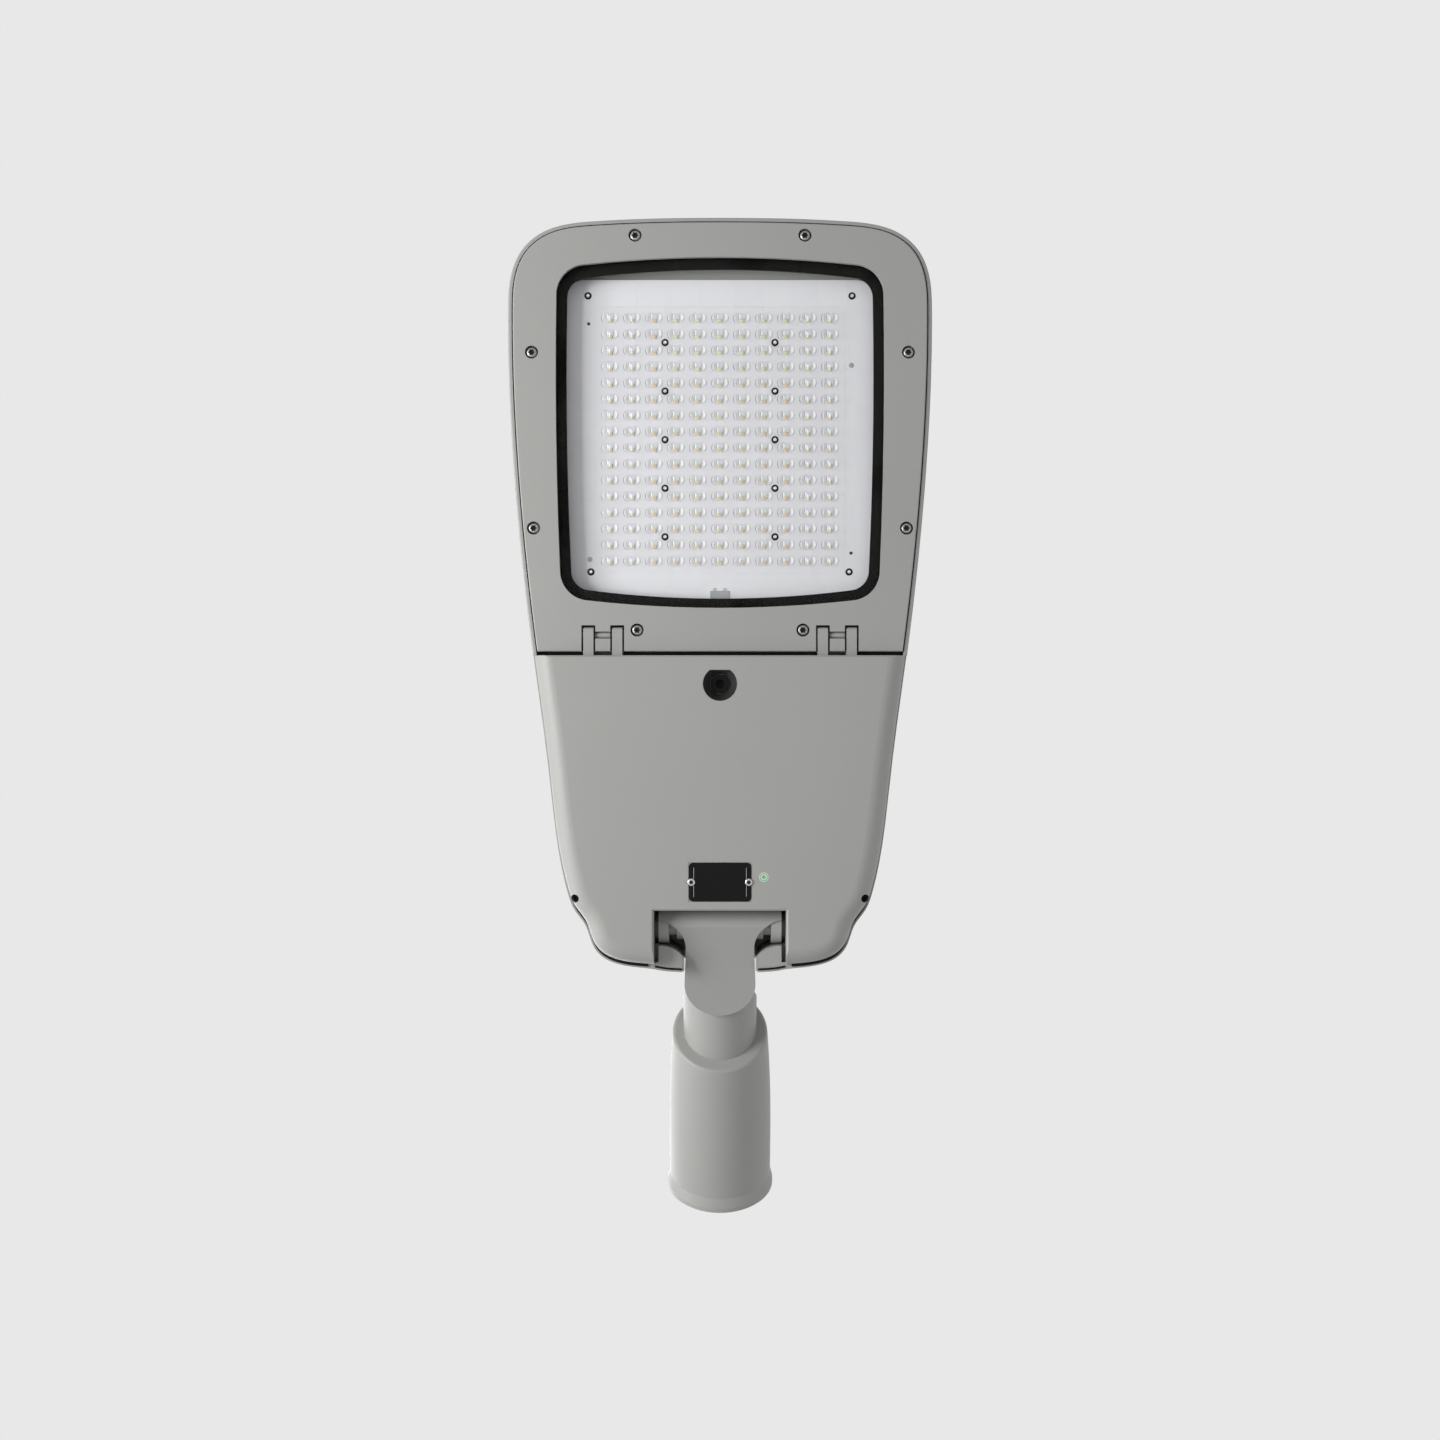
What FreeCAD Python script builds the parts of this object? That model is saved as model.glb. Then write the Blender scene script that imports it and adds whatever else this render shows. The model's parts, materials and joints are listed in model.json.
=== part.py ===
"""LED street light head: a die-cast aluminium head on a tilting arm with a pole socket.

Millimetres. +Z is up and the lamp shines down. +Y points forward, away from the pole, and X runs across.
The origin is the centre of the pole socket's mouth. The head is level, and the arm rises from it towards
the pole by arm_tilt.

Head pieces are drawn from the tilt pivot along Y and from the lens frame's outer face along Z.
Arm pieces are drawn in line with the head from the tilt pivot. place_head and place_arm move them.
"""

import FreeCAD
import Part
import math
import os

V = FreeCAD.Vector
X_AXIS = V(1, 0, 0)
Y_AXIS = V(0, 1, 0)
Z_AXIS = V(0, 0, 1)
FAR = 1000.0
below = -20.0

# Head outline: half widths at stations ahead of the tilt pivot
head_front_y = 498.5
head_rear_y = -31.5
widest_half = 148.7
widest_y = 433.0
mid_half = 143.5
mid_y = 307.0
waist_half = 131.6
waist_y = 195.0
tail_half = 107.0
tail_y = 24.5
heel_half = 91.3
heel_y = -7.0
front_flat_half = 88.0
front_flat_drop = 2.4
nose_half = 139.0
nose_drop = 22.5

# Depth of the head above the lens frame's outer face
rim_z = 1.5
rim_round = 1.1
seat_z = 7.2
front_top = 40.0
lamp_top = 60.0
gear_top = 72.0
rear_top = 50.0
casting_wall = 4.5

# Lens frame and window
parting_y = 194.3
frame_thickness = 7.0
frame_inset = 3.5
edge_cord_low = 2.5
edge_cord_gap = 0.05
parting_strip = 1.0
parting_strip_gap = 0.3
rim_lip = 2.6
frame_edge = 0.8
window_half_front = 114.4
window_half_rear = 111.3
window_front_y = 470.6
window_rear_y = 224.8
window_bulge = 7.5
window_side_bulge = 2.0
window_corner = 21.0
glass_thickness = 4.0
glass_overlap = 5.0
glass_clearance = 0.4
gasket_lip = 7.0
gasket_lip_thickness = 1.2
gasket_reach = 2.6

# Light engine
bay_depth = 13.0
bay_margin = 3.0
board_thickness = 2.0
board_inset = 4.0
board_front_y = 459.3
board_front_corner = 14.0
lens_columns = 11
lens_rows = 16
lens_pitch_x = 15.6
lens_pitch_y = 11.48
lens_centre_y = 345.1
lens_length = 12.6
lens_width = 8.0
lens_height = 3.6
lens_crown = 0.52
lens_corner = 0.45
lens_root = 0.4
lens_plate_thickness = 1.8
lens_plate_margin = 4.5
lens_plate_corner = 4.0
lens_plate_wall = 2.0
lens_plate_boss = 3.0
lens_air_gap = 1.2
chip_size = 3.0
chip_height = 0.7

# Screws, as head radius, head height, shank radius
frame_screw_head = 3.9
frame_screw_head_height = 2.6
frame_screw_shank = 2.4
frame_screw_length = 16.0
frame_screw_well = 4.6
frame_screw_depth = 0.6
small_screw_head = 2.6
small_screw_head_height = 1.9
small_screw_shank = 1.5
small_screw_grip = 5.0
screw_gap = 0.25
screw_bevel = 0.4
socket_depth = 1.4

# Gear cover and hinge
cover_gap = 3.0
cover_inset = 0.6
cover_shift = 3.0
cover_drop = 8.0
cover_edge = 13.0
cover_front_bevel = 1.2
cover_wall = 3.0
cover_rim = 12.5
notch_bevel = 1.2
seal_width = 3.2
seal_inset = 6.8
seal_flange = 1.0
seal_flange_inset = 1.2
frame_seal_reach = 8.5
seal_groove = 2.0
seal_step = 1.2
hinge_x = 82.1
hinge_y = 205.8
hinge_z = 3.5
hinge_pin_radius = 2.2
hinge_bore_gap = 0.08
ear_width = 7.2
ear_spacing = 20.2
ear_reach = 5.6
ear_round = 2.5
ear_slot_gap = 0.7
tongue_groove = 4.9
hinge_pocket_top = 12.5
lock_x = 0.0
lock_y = 171.5
lock_mouth = 12.0
lock_throat = 7.2
lock_cone_depth = 8.0
lock_flat = 9.7
lock_well = 6.8
lock_well_depth = 7.0
lock_boss = 10.0
corner_screw_x = 101.3
corner_screw_y = 21.7
corner_screw_radius = 2.7
corner_screw_shank = 2.0
corner_screw_tip = 5.0
corner_screw_head_height = 2.4
corner_seat_z = 2.5
lock_screw_head = 6.2
lock_screw_shank = 3.0
lock_screw_tip = 1.6
lock_gap = 0.6
captive_clearance = 0.7
plate_width = 43.4
plate_length = 27.0
plate_thickness = 0.8
plate_corner = 3.0
plate_y = 33.6
plate_recess = 0.4
plate_gap = 0.3
rivet_radius = 2.6
rivet_height = 0.9
rivet_spacing = 40.0

# Tilt pivot, pocket and arm
pivot_height = 18.0
pocket_half = 46.3
pocket_front = 13.6
pocket_rear = 20.0
pocket_rear_side = 13.2
pocket_ledge_x = 31.7
pocket_ledge_y = -15.6
pocket_ceiling = 47.0
pocket_wall = 5.0
pocket_groove_rear = 24.5
pocket_groove_top = 20.0
slot_half = 26.5
slot_top = 44.5
cross_half = 43.3
cross_radius = 13.0
cheek_start = 36.0
cheek_radius = 12.0
hub_half = 30.5
hub_radius = 9.5
core_radius = 6.6
neck_half = 25.3
neck_waist = 24.2
neck_depth_half = 12.0
flare_start = 9.0
flare_middle_x = 30.8
flare_middle_y = 3.6
flare_end = -11.5
tongue_length = 66.0
arm_tilt = 20.0
tube_offset = 18.0
tube_radius = 27.0
tube_start = 38.0
tube_slant = 45.0
sleeve_front_start = 108.5
sleeve_front_radius = 35.9
sleeve_profile = ((191.0, 29.0), (136.0, 34.9), (104.0, 37.0), (69.0, 38.1))
sleeve_mouth_radius = 38.3
sleeve_shoulder = 2.4
sleeve_slant = 22.0
arm_length = 229.0
rim_radius = 40.2
rim_flare_start = 12.0
rim_band = 4.5
rim_bevel = 1.2
socket_radius = 31.0
socket_length = 100.0
cable_way_radius = 9.0
clamp_boss_radius = 9.5
clamp_boss_rise = 6.0
clamp_screw_radius = 4.0
clamp_head_radius = 6.5
clamp_head_height = 5.5
clamp_first = 22.0
clamp_spacing = 38.0
pivot_bolt_radius = 5.0
pivot_bolt_gap = 0.08
bolt_head_across = 17.0
bolt_head_height = 6.4
washer_radius = 10.0
washer_thickness = 1.8
disc_radius = 11.0
disc_gap = 0.2

# Gear inside the compartment
tray_z = 58.0
tray_thickness = 1.5
tray_half = 88.0
tray_rear_y = 36.0
tray_front_y = 168.0
tray_boss_radius = 5.0
tray_screw_x = 76.0
tray_screw_inset = 8.0
driver_length = 150.0
driver_width = 66.0
driver_height = 34.0
driver_y = 122.0
driver_foot = 9.0
driver_foot_thickness = 3.0
driver_corner = 3.0
terminal_ways = 3
terminal_pitch = 11.0
terminal_depth = 22.0
terminal_height = 17.0
terminal_x = -40.0
terminal_y = 58.0
surge_length = 46.0
surge_width = 28.0
surge_height = 26.0
surge_x = 38.0
surge_y = 60.0
gland_x = 30.0
gland_z = 38.0
gland_radius = 8.0
gland_thread_radius = 6.0
gland_bore = 3.5
lead_gland_x = 35.0
lead_gland_radius = 4.5

# Heat sink on the back of the lamp bay
fin_thickness = 3.2
fin_pitch = 16.0
fin_slots = 17
fin_side_wall = 9.0
fin_floor = 24.5
fin_front_y = 505.0
fin_rear_y = 196.0


def outline_points(inset):
    """Points of the outline's +X half, from the front centre to the rear centre, moved inwards by inset."""
    half = [
        (0, head_front_y),
        (front_flat_half, head_front_y - front_flat_drop),
        (0.84 * widest_half, head_front_y - 0.46 * nose_drop),
        (nose_half, head_front_y - nose_drop),
        (0.984 * widest_half, (head_front_y + widest_y) / 2 - 6),
        (widest_half, widest_y),
        (mid_half, mid_y),
        (waist_half, waist_y),
        ((waist_half + tail_half) / 2 + 1, (waist_y + tail_y) / 2),
        (tail_half, tail_y),
        (0.72 * tail_half + 0.28 * heel_half, 0.64 * tail_y + 0.36 * heel_y),
        (0.2 * tail_half + 0.8 * heel_half, 0.27 * tail_y + 0.73 * heel_y),
        (heel_half, heel_y),
        (0.97 * heel_half, 0.73 * heel_y + 0.27 * head_rear_y),
        (0.88 * heel_half, 0.39 * heel_y + 0.61 * head_rear_y),
        (0.55 * heel_half, 0.12 * heel_y + 0.88 * head_rear_y),
        (0, head_rear_y),
    ]
    ends = [(-half[1][0], half[1][1])] + half + [(-half[-2][0], half[-2][1])]
    moved = []
    for (ax, ay), (x, y), (bx, by) in zip(ends, half, ends[2:]):
        run = math.hypot(bx - ax, by - ay)
        moved.append((x + inset * (by - ay) / run, y - inset * (bx - ax) / run))
    return moved


def outline_wire(inset, z):
    """The closed smooth outline at height z, as a curve and its reflection."""
    curve = Part.BSplineCurve()
    points = [V(x, y, z) for x, y in outline_points(inset)]
    curve.interpolate(points, InitialTangent=X_AXIS, FinalTangent=-X_AXIS)
    return Part.Wire(Part.sortEdges(both_sides(curve.toShape()))[0])


def outline_prism(inset, low, high):
    """The outline, moved inwards by inset, as an upright prism."""
    return Part.Face(outline_wire(inset, low)).extrude(V(0, 0, high - low))


def block(x0, x1, y0, y1, z0, z1):
    """A box between two corners."""
    return Part.makeBox(x1 - x0, y1 - y0, z1 - z0, V(x0, y0, z0))


def zone(y0, y1, z0=-FAR, z1=FAR):
    """Everything between two places along Y, over the whole width."""
    return block(-FAR, FAR, y0, y1, z0, z1)


def rod(radius, start, length, axis):
    """A cylinder from start along axis."""
    return Part.makeCylinder(radius, length, start, axis)


def mirrored(shape):
    """The shape reflected across the head's centre plane."""
    return shape.mirror(V(0, 0, 0), X_AXIS)


def both_sides(shape):
    """The shape and its reflection."""
    return [shape, mirrored(shape)]


def upright_edges(solid):
    """The straight edges of a prism that run along Z."""
    found = []
    for edge in solid.Edges:
        ends = edge.Vertexes
        if len(ends) == 2 and abs(ends[0].X - ends[1].X) + abs(ends[0].Y - ends[1].Y) < 1e-6:
            found.append(edge)
    return found


def edges_at(solid, z):
    """The edges that lie at height z."""
    return [e for e in solid.Edges if max(abs(e.BoundBox.ZMin - z), abs(e.BoundBox.ZMax - z)) < 1e-4]


def window_prism(grow, low, high):
    """A panel of the window's bowed outline, grown by a margin, with round corners."""
    front, rear = window_front_y + grow, window_rear_y - grow
    half_front, half_rear = window_half_front + grow, window_half_rear + grow
    middle = (front + rear) / 2
    half_middle = (half_front + half_rear) / 2 + window_side_bulge
    corners = [V(-half_front, front - window_bulge, low), V(half_front, front - window_bulge, low)]
    corners += [V(half_rear, rear + window_bulge, low), V(-half_rear, rear + window_bulge, low)]
    bows = [V(0, front, low), V(half_middle, middle, low), V(0, rear, low), V(-half_middle, middle, low)]
    arcs = [Part.Arc(corners[i], bows[i], corners[(i + 1) % 4]).toShape() for i in range(4)]
    prism = Part.Face(Part.Wire(arcs)).extrude(V(0, 0, high - low))
    return prism.makeFillet(window_corner + grow, upright_edges(prism))


def screw(x, y, head_z, head_radius, head_height, shank_radius, length):
    """A pan-head screw that points up, with its head below head_z and a six-sided driving socket."""
    head = rod(head_radius, V(x, y, head_z - head_height), head_height, Z_AXIS)
    head = head.makeChamfer(screw_bevel * head_height, edges_at(head, head_z - head_height))
    key = hexagon(0.9 * head_radius, V(x, y, head_z - head_height), socket_depth, Z_AXIS)
    return head.cut(key).fuse(rod(shank_radius, V(x, y, head_z), length, Z_AXIS)).removeSplitter()


def hexagon(across_flats, start, height, axis):
    """A six-sided prism from start along axis."""
    placement = FreeCAD.Placement(start, FreeCAD.Rotation(Z_AXIS, axis))
    corner = across_flats / math.sqrt(3)
    points = [V(corner * math.cos(i * math.pi / 3), corner * math.sin(i * math.pi / 3), 0) for i in range(7)]
    prism = Part.Face(Part.makePolygon(points)).extrude(V(0, 0, height))
    prism.Placement = placement
    return prism


# Head casting


def back_profile(drop):
    """Everything below the head's curved back, seen from the side, lowered by drop."""
    points = [
        V(0, head_front_y + 10, front_top - drop),
        V(0, widest_y, (front_top + lamp_top) / 2 + 3 - drop),
        V(0, mid_y, lamp_top - drop),
        V(0, (waist_y + tail_y) / 2, gear_top - drop),
        V(0, tail_y, (gear_top + rear_top) / 2 + 5 - drop),
        V(0, head_rear_y - 10, rear_top - drop),
    ]
    curve = Part.BSplineCurve()
    curve.interpolate(points)
    low = -20.0
    base = [V(0, head_rear_y - 10, low), V(0, head_front_y + 10, low)]
    sides = Part.makePolygon([points[-1]] + base + [points[0]])
    face = Part.Face(Part.Wire([curve.toShape()] + sides.Edges))
    return face.extrude(V(2 * FAR, 0, 0)).translated(V(-FAR, 0, 0))


def head_envelope():
    """The head's outer form: the outline drawn in towards a rounded back."""
    sections = [(0.0, rim_z), (0.0, 14.0), (1.6, 30.0), (6.0, 50.0), (13.0, 64.0), (26.0, gear_top + 6)]
    loft = Part.makeLoft([outline_wire(inset, z) for inset, z in sections], True, False)
    loft = loft.makeFillet(rim_round, edges_at(loft, rim_z))
    return loft.common(back_profile(0))


def gear_cavity():
    """The compartment for the gear, open downwards."""
    side = cover_rim + 1
    sections = [(side, seat_z - 10), (side, 30.0), (side + 1, 50.0), (2 * side - 1, gear_top + 2)]
    loft = Part.makeLoft([outline_wire(inset, z) for inset, z in sections], True, False)
    behind = parting_y - cover_gap - cover_rim
    return loft.common(back_profile(casting_wall)).common(zone(-FAR, behind))


def pivot_pocket(grow):
    """The space for the arm's cross-piece and the slot where its neck leaves the head."""
    half, front = pocket_half + grow, pocket_front + grow
    side_y, rear_y, slot_x = -pocket_rear_side - grow, -pocket_rear - grow, slot_half + grow
    ledge = V(pocket_ledge_x + grow, pocket_ledge_y - grow, below)
    right = Part.Arc(V(half, side_y, below), ledge, V(slot_x, rear_y, below)).toShape()
    corners = [V(half, side_y, below), V(half, front, below), V(-half, front, below), V(-half, side_y, below)]
    straight = Part.makePolygon(corners).Edges
    straight.append(Part.LineSegment(V(slot_x, rear_y, below), V(-slot_x, rear_y, below)).toShape())
    outline = Part.Wire(Part.sortEdges(both_sides(right) + straight)[0])
    pocket = Part.Face(outline).extrude(V(0, 0, pocket_ceiling + grow - below))
    return pocket.fuse(block(-slot_x, slot_x, head_rear_y - 20, rear_y + 1, below, slot_top + grow))


def pocket_grooves():
    """The narrow grooves between the pocket's rear ledge and its side walls."""
    front = -pocket_rear_side + 1
    groove = block(cross_half, pocket_half, -pocket_groove_rear, front, below, pocket_groove_top)
    return Part.makeCompound(both_sides(groove))


def frame_screw_places():
    """Where the lens frame's eight screws stand."""
    half = [(59.5, 485.8), (132.0, 403.9), (130.6, 280.7), (58.1, 209.3)]
    return [(side * x, y) for x, y in half for side in (-1, 1)]


def board_corner_places():
    """Where the four corner screws of the board stand."""
    return [(side * x, y) for x, y in [(93.9, 447.9), (91.8, 251.6)] for side in (-1, 1)]


def board_inner_places():
    """Where the ten screws between the lenses stand."""
    reach, step = 2.5 * lens_pitch_x, 3 * lens_pitch_y
    return [(side * reach, lens_centre_y + row * step) for row in range(-2, 3) for side in (-1, 1)]


def tray_screw_places():
    """Where the four screws of the gear tray stand."""
    ends = (tray_rear_y + tray_screw_inset, tray_front_y - tray_screw_inset)
    return [(side * tray_screw_x, y) for y in ends for side in (-1, 1)]


def bay_floor():
    """Height of the lamp bay's floor."""
    return seat_z + bay_depth


def make_housing():
    """The one-piece casting: rim, lamp bay, cooling fins, gear compartment and pivot pocket."""
    body = head_envelope()
    parting = parting_y - cover_gap
    body = body.cut(outline_prism(rim_lip, below, seat_z).common(zone(parting, FAR)))
    body = body.cut(zone(-FAR, parting, below, seat_z))
    body = body.cut(window_prism(bay_margin, -20, bay_floor()))
    body = body.cut(frame_seal_track(seat_z - 1, seat_z + seal_groove))
    first = -(fin_slots - 1) / 2 * fin_pitch
    gap = fin_pitch - fin_thickness
    slot = block(first - gap / 2, first + gap / 2, fin_rear_y, fin_front_y, fin_floor, FAR / 10)
    slots = [slot.translated(V(i * fin_pitch, 0, 0)) for i in range(fin_slots)]
    inside = outline_prism(fin_side_wall, fin_floor - 1, gear_top + 20)
    inside = inside.fuse(block(first, -first, widest_y, fin_front_y, fin_floor - 1, gear_top + 20))
    body = body.cut(Part.makeCompound(slots).common(inside))
    tray_top = tray_z + tray_thickness
    bosses = [rod(tray_boss_radius, V(x, y, tray_top), 12, Z_AXIS) for x, y in tray_screw_places()]
    corner = rod(5.0, V(corner_screw_x, corner_screw_y, seat_z), 18, Z_AXIS)
    lock = rod(lock_boss, V(lock_x, lock_y, lock_seat() + lock_gap), gear_top - lock_seat(), Z_AXIS)
    cavity = gear_cavity().cut(pivot_pocket(pocket_wall))
    cavity = cavity.cut(Part.makeCompound(bosses + both_sides(corner) + [lock]))
    body = body.cut(cavity).cut(pivot_pocket(0)).cut(pocket_grooves())
    holes = [rod(frame_screw_shank + screw_gap, V(x, y, 0), 24, Z_AXIS) for x, y in frame_screw_places()]
    for x, y in board_corner_places() + board_inner_places():
        holes.append(rod(small_screw_shank, V(x, y, bay_floor() - 1), small_screw_grip, Z_AXIS))
    for x, y in tray_screw_places():
        holes.append(rod(small_screw_shank, V(x, y, tray_z), small_screw_grip + tray_thickness, Z_AXIS))
    corner = V(corner_screw_x, corner_screw_y, 0)
    holes += both_sides(rod(corner_screw_shank + captive_clearance, corner, 20, Z_AXIS))
    holes.append(rod(lock_screw_shank + captive_clearance, V(lock_x, lock_y, 0), lock_seat() + 8, Z_AXIS))
    holes.append(rod(lock_boss + 1, V(lock_x, lock_y, 0), lock_seat() + lock_gap, Z_AXIS))
    holes.append(rod(pivot_bolt_radius + pivot_bolt_gap, V(-80, 0, pivot_height), 160, X_AXIS))
    holes.append(rod(gland_thread_radius, V(gland_x, pocket_front - 1, gland_z), pocket_wall + 2, Y_AXIS))
    holes.append(rod(lead_gland_radius, V(lead_gland_x, parting_y - 30, lead_gland_z()), 80, Y_AXIS))
    holes += [hinge_pocket(side) for side in (-1, 1)]
    return body.cut(Part.makeCompound(holes))


def hinge_pocket(side):
    """The space in the casting behind one hinge."""
    x = side * hinge_x
    reach = ear_spacing / 2 + ear_width / 2 + ear_slot_gap
    front = hinge_y + ear_reach + 2 * ear_slot_gap
    return block(x - reach, x + reach, parting_y - 4, front, -1, hinge_pocket_top)


def lock_seat():
    """Height of the floor of the lock screw's well in the gear cover."""
    return -cover_drop + lock_cone_depth + lock_well_depth


def lead_gland_z():
    """Height of the passage for the leads between the gear compartment and the lamp bay."""
    return bay_floor() - lead_gland_radius - 1.6


# Lens frame, glass and seals


def make_lens_frame():
    """The front frame with its window, rebate for the glass, screw wells and hinge tongues."""
    frame = outline_prism(frame_inset, 0, frame_thickness)
    frame = frame.common(zone(parting_y, FAR, -1, 20))
    frame = frame.makeFillet(frame_edge, edges_at(frame, 0))
    frame = frame.cut(window_prism(0, -1, 20))
    frame = frame.cut(window_prism(glass_overlap + glass_clearance, frame_thickness - glass_thickness, 20))
    holes = []
    well = frame_screw_depth + frame_screw_head_height + 1
    for x, y in frame_screw_places():
        holes.append(rod(frame_screw_well, V(x, y, -1), well, Z_AXIS))
        holes.append(rod(frame_screw_shank + screw_gap, V(x, y, -1), 20, Z_AXIS))
    for side in (-1, 1):
        for ear in (-1, 1):
            x = side * hinge_x + ear * ear_spacing / 2
            reach, front = ear_width / 2 + ear_slot_gap, hinge_y + ear_reach + ear_slot_gap
            holes.append(block(x - reach, x + reach, parting_y - 5, front, -1, 20))
        x = side * hinge_x
        half = ear_spacing / 2 - ear_width / 2
        groove = tongue_groove / 2
        holes.append(block(x - half, x + half, hinge_y - groove, hinge_y + groove, -1, hinge_z))
        pin_half = hinge_pin_half() + 0.2
        start = V(x - pin_half, hinge_y, hinge_z)
        holes.append(rod(hinge_pin_radius + hinge_bore_gap, start, 2 * pin_half, X_AXIS))
    return frame.cut(Part.makeCompound(holes))


def hinge_pin_half():
    """Half the length of a hinge pin: through both ears and a little into the frame."""
    return ear_spacing / 2 + ear_width / 2 + ear_slot_gap + 4.0


def make_frame_screws():
    """The eight screws that hold the lens frame."""
    head_z = frame_screw_depth + frame_screw_head_height
    sizes = (frame_screw_head, frame_screw_head_height, frame_screw_shank, frame_screw_length)
    return Part.makeCompound([screw(x, y, head_z, *sizes) for x, y in frame_screw_places()])


def make_glass():
    """The flat toughened pane behind the frame."""
    return window_prism(glass_overlap, frame_thickness - glass_thickness, frame_thickness)


def make_window_gasket():
    """The black seal that shows as a dark border inside the frame's window."""
    low = frame_thickness
    outer = window_prism(gasket_reach, low, low + gasket_lip_thickness)
    return outer.cut(window_prism(-gasket_lip, low - 1, low + 5))


def frame_seal_track(low, high):
    """The closed track of the frame seal's cord around the lamp bay."""
    reach = bay_margin + frame_seal_reach
    return window_prism(reach, low, high).cut(window_prism(reach - seal_width, low - 1, high + 1))


def make_frame_seal():
    """The silicone seals of the lens frame: the cord, the edge cord and the strip at the parting line."""
    ring = frame_seal_track(frame_thickness, seat_z + seal_groove)
    edge = outline_prism(rim_lip + edge_cord_gap, edge_cord_low, seat_z)
    edge = edge.cut(outline_prism(frame_inset - edge_cord_gap, 0, seat_z + 1)).common(zone(parting_y, FAR))
    rear, front = parting_y - cover_gap + parting_strip_gap, parting_y - parting_strip_gap / 2
    strip = outline_prism(rim_lip, seat_z - parting_strip, seat_z).common(zone(rear, front))
    strip = strip.cut(Part.makeCompound([hinge_pocket(side) for side in (-1, 1)]))
    return Part.makeCompound([ring, edge] + strip.Solids)


# Light engine


def make_led_board():
    """The white circuit board on the bay's floor."""
    low, high = bay_floor() - board_thickness, bay_floor()
    board = window_prism(-board_inset, low, high).common(zone(-FAR, board_front_y, low, high))
    front_edges = [e for e in upright_edges(board) if e.BoundBox.YMin > board_front_y - 1]
    board = board.makeFillet(board_front_corner, front_edges)
    places = board_corner_places() + board_inner_places()
    holes = [rod(small_screw_shank + screw_gap, V(x, y, bay_floor() - 5), 10, Z_AXIS) for x, y in places]
    return board.cut(Part.makeCompound(holes))


def lens_places():
    """Centres of the lenses, row by row."""
    left = -(lens_columns - 1) / 2 * lens_pitch_x
    rear = lens_centre_y - (lens_rows - 1) / 2 * lens_pitch_y
    columns = [left + c * lens_pitch_x for c in range(lens_columns)]
    return [(x, rear + r * lens_pitch_y) for r in range(lens_rows) for x in columns]


def lens_plate_low():
    """Height of the lens plate's lower face."""
    return bay_floor() - board_thickness - lens_air_gap - lens_plate_thickness


def lens_bump():
    """One long lens at the origin: eight flat sloping sides down to a flat crown."""
    rings = []
    for z, share in ((lens_root, 1.0), (-lens_height, lens_crown)):
        a, b = share * lens_length / 2, share * lens_width / 2
        cut = lens_corner * b
        corners = [(a, -b + cut), (a, b - cut), (a - cut, b), (-a + cut, b)]
        corners += [(-x, -y) for x, y in corners]
        rings.append([V(x, y, z) for x, y in corners])
    top, crown = rings
    outlines = [top, crown] + [[top[i - 1], top[i], crown[i], crown[i - 1]] for i in range(len(top))]
    return Part.makeSolid(Part.makeShell([Part.Face(Part.makePolygon(o + o[:1])) for o in outlines]))


def make_lens_plate():
    """The clear moulded plate with one lens over each light source and a rim that stands on the board."""
    half_x = (lens_columns - 1) / 2 * lens_pitch_x + lens_length / 2 + lens_plate_margin
    half_y = (lens_rows - 1) / 2 * lens_pitch_y + lens_width / 2 + lens_plate_margin
    low, high = lens_plate_low(), bay_floor() - board_thickness
    rear, front = lens_centre_y - half_y, lens_centre_y + half_y
    plate = block(-half_x, half_x, rear, front, low, high)
    plate = plate.makeFillet(lens_plate_corner, upright_edges(plate))
    wall, floor = lens_plate_wall, low + lens_plate_thickness
    plate = plate.cut(block(-half_x + wall, half_x - wall, rear + wall, front - wall, floor, high + 1))
    bosses = [rod(lens_plate_boss, V(x, y, low), high - low, Z_AXIS) for x, y in board_inner_places()]
    plate = plate.multiFuse(bosses)
    lens = lens_bump()
    plate = plate.multiFuse([lens.translated(V(x, y, low)) for x, y in lens_places()])
    hole = small_screw_shank + screw_gap
    holes = [rod(hole, V(x, y, low - 5), 20, Z_AXIS) for x, y in board_inner_places()]
    return plate.cut(Part.makeCompound(holes))


def make_led_chips():
    """The light sources, one behind each lens."""
    low = bay_floor() - board_thickness - chip_height
    half = chip_size / 2
    chips = [block(x - half, x + half, y - half, y + half, low, low + chip_height) for x, y in lens_places()]
    return Part.makeCompound(chips)


def small_screw_reach():
    """How far a small screw goes into its hole, a little short of the hole's end."""
    return small_screw_grip - 1.5


def make_board_screws():
    """Four screws at the board's corners and ten between the lenses."""
    board_face = bay_floor() - board_thickness
    sizes = (small_screw_head, small_screw_head_height, small_screw_shank)
    length = board_thickness + small_screw_reach()
    corners = [screw(x, y, board_face, *sizes, length) for x, y in board_corner_places()]
    plate_face = lens_plate_low()
    length += board_face - plate_face
    inner = [screw(x, y, plate_face, *sizes, length) for x, y in board_inner_places()]
    return Part.makeCompound(corners + inner)


# Gear cover


def cover_prism(inset, low, high):
    """The gear cover's outline: the head's outline behind the frame, moved forward a little."""
    front = parting_y - cover_gap - (inset - cover_inset)
    outline = outline_prism(inset, low, high).translated(V(0, cover_shift, 0))
    return outline.common(zone(-FAR, front))


def cover_form():
    """The gear cover's outer form: rounded well at the outline, with a bevelled front edge."""
    form = outline_prism(cover_inset, -cover_drop, frame_thickness)
    form = form.makeFillet(cover_edge, edges_at(form, -cover_drop))
    front = parting_y - cover_gap
    form = form.translated(V(0, cover_shift, 0)).common(zone(-FAR, front))
    bevel = half_space(45).translated(V(0, front - cover_front_bevel, -cover_drop))
    return form.cut(bevel.mirror(V(0, 0, -cover_drop), Z_AXIS))


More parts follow.
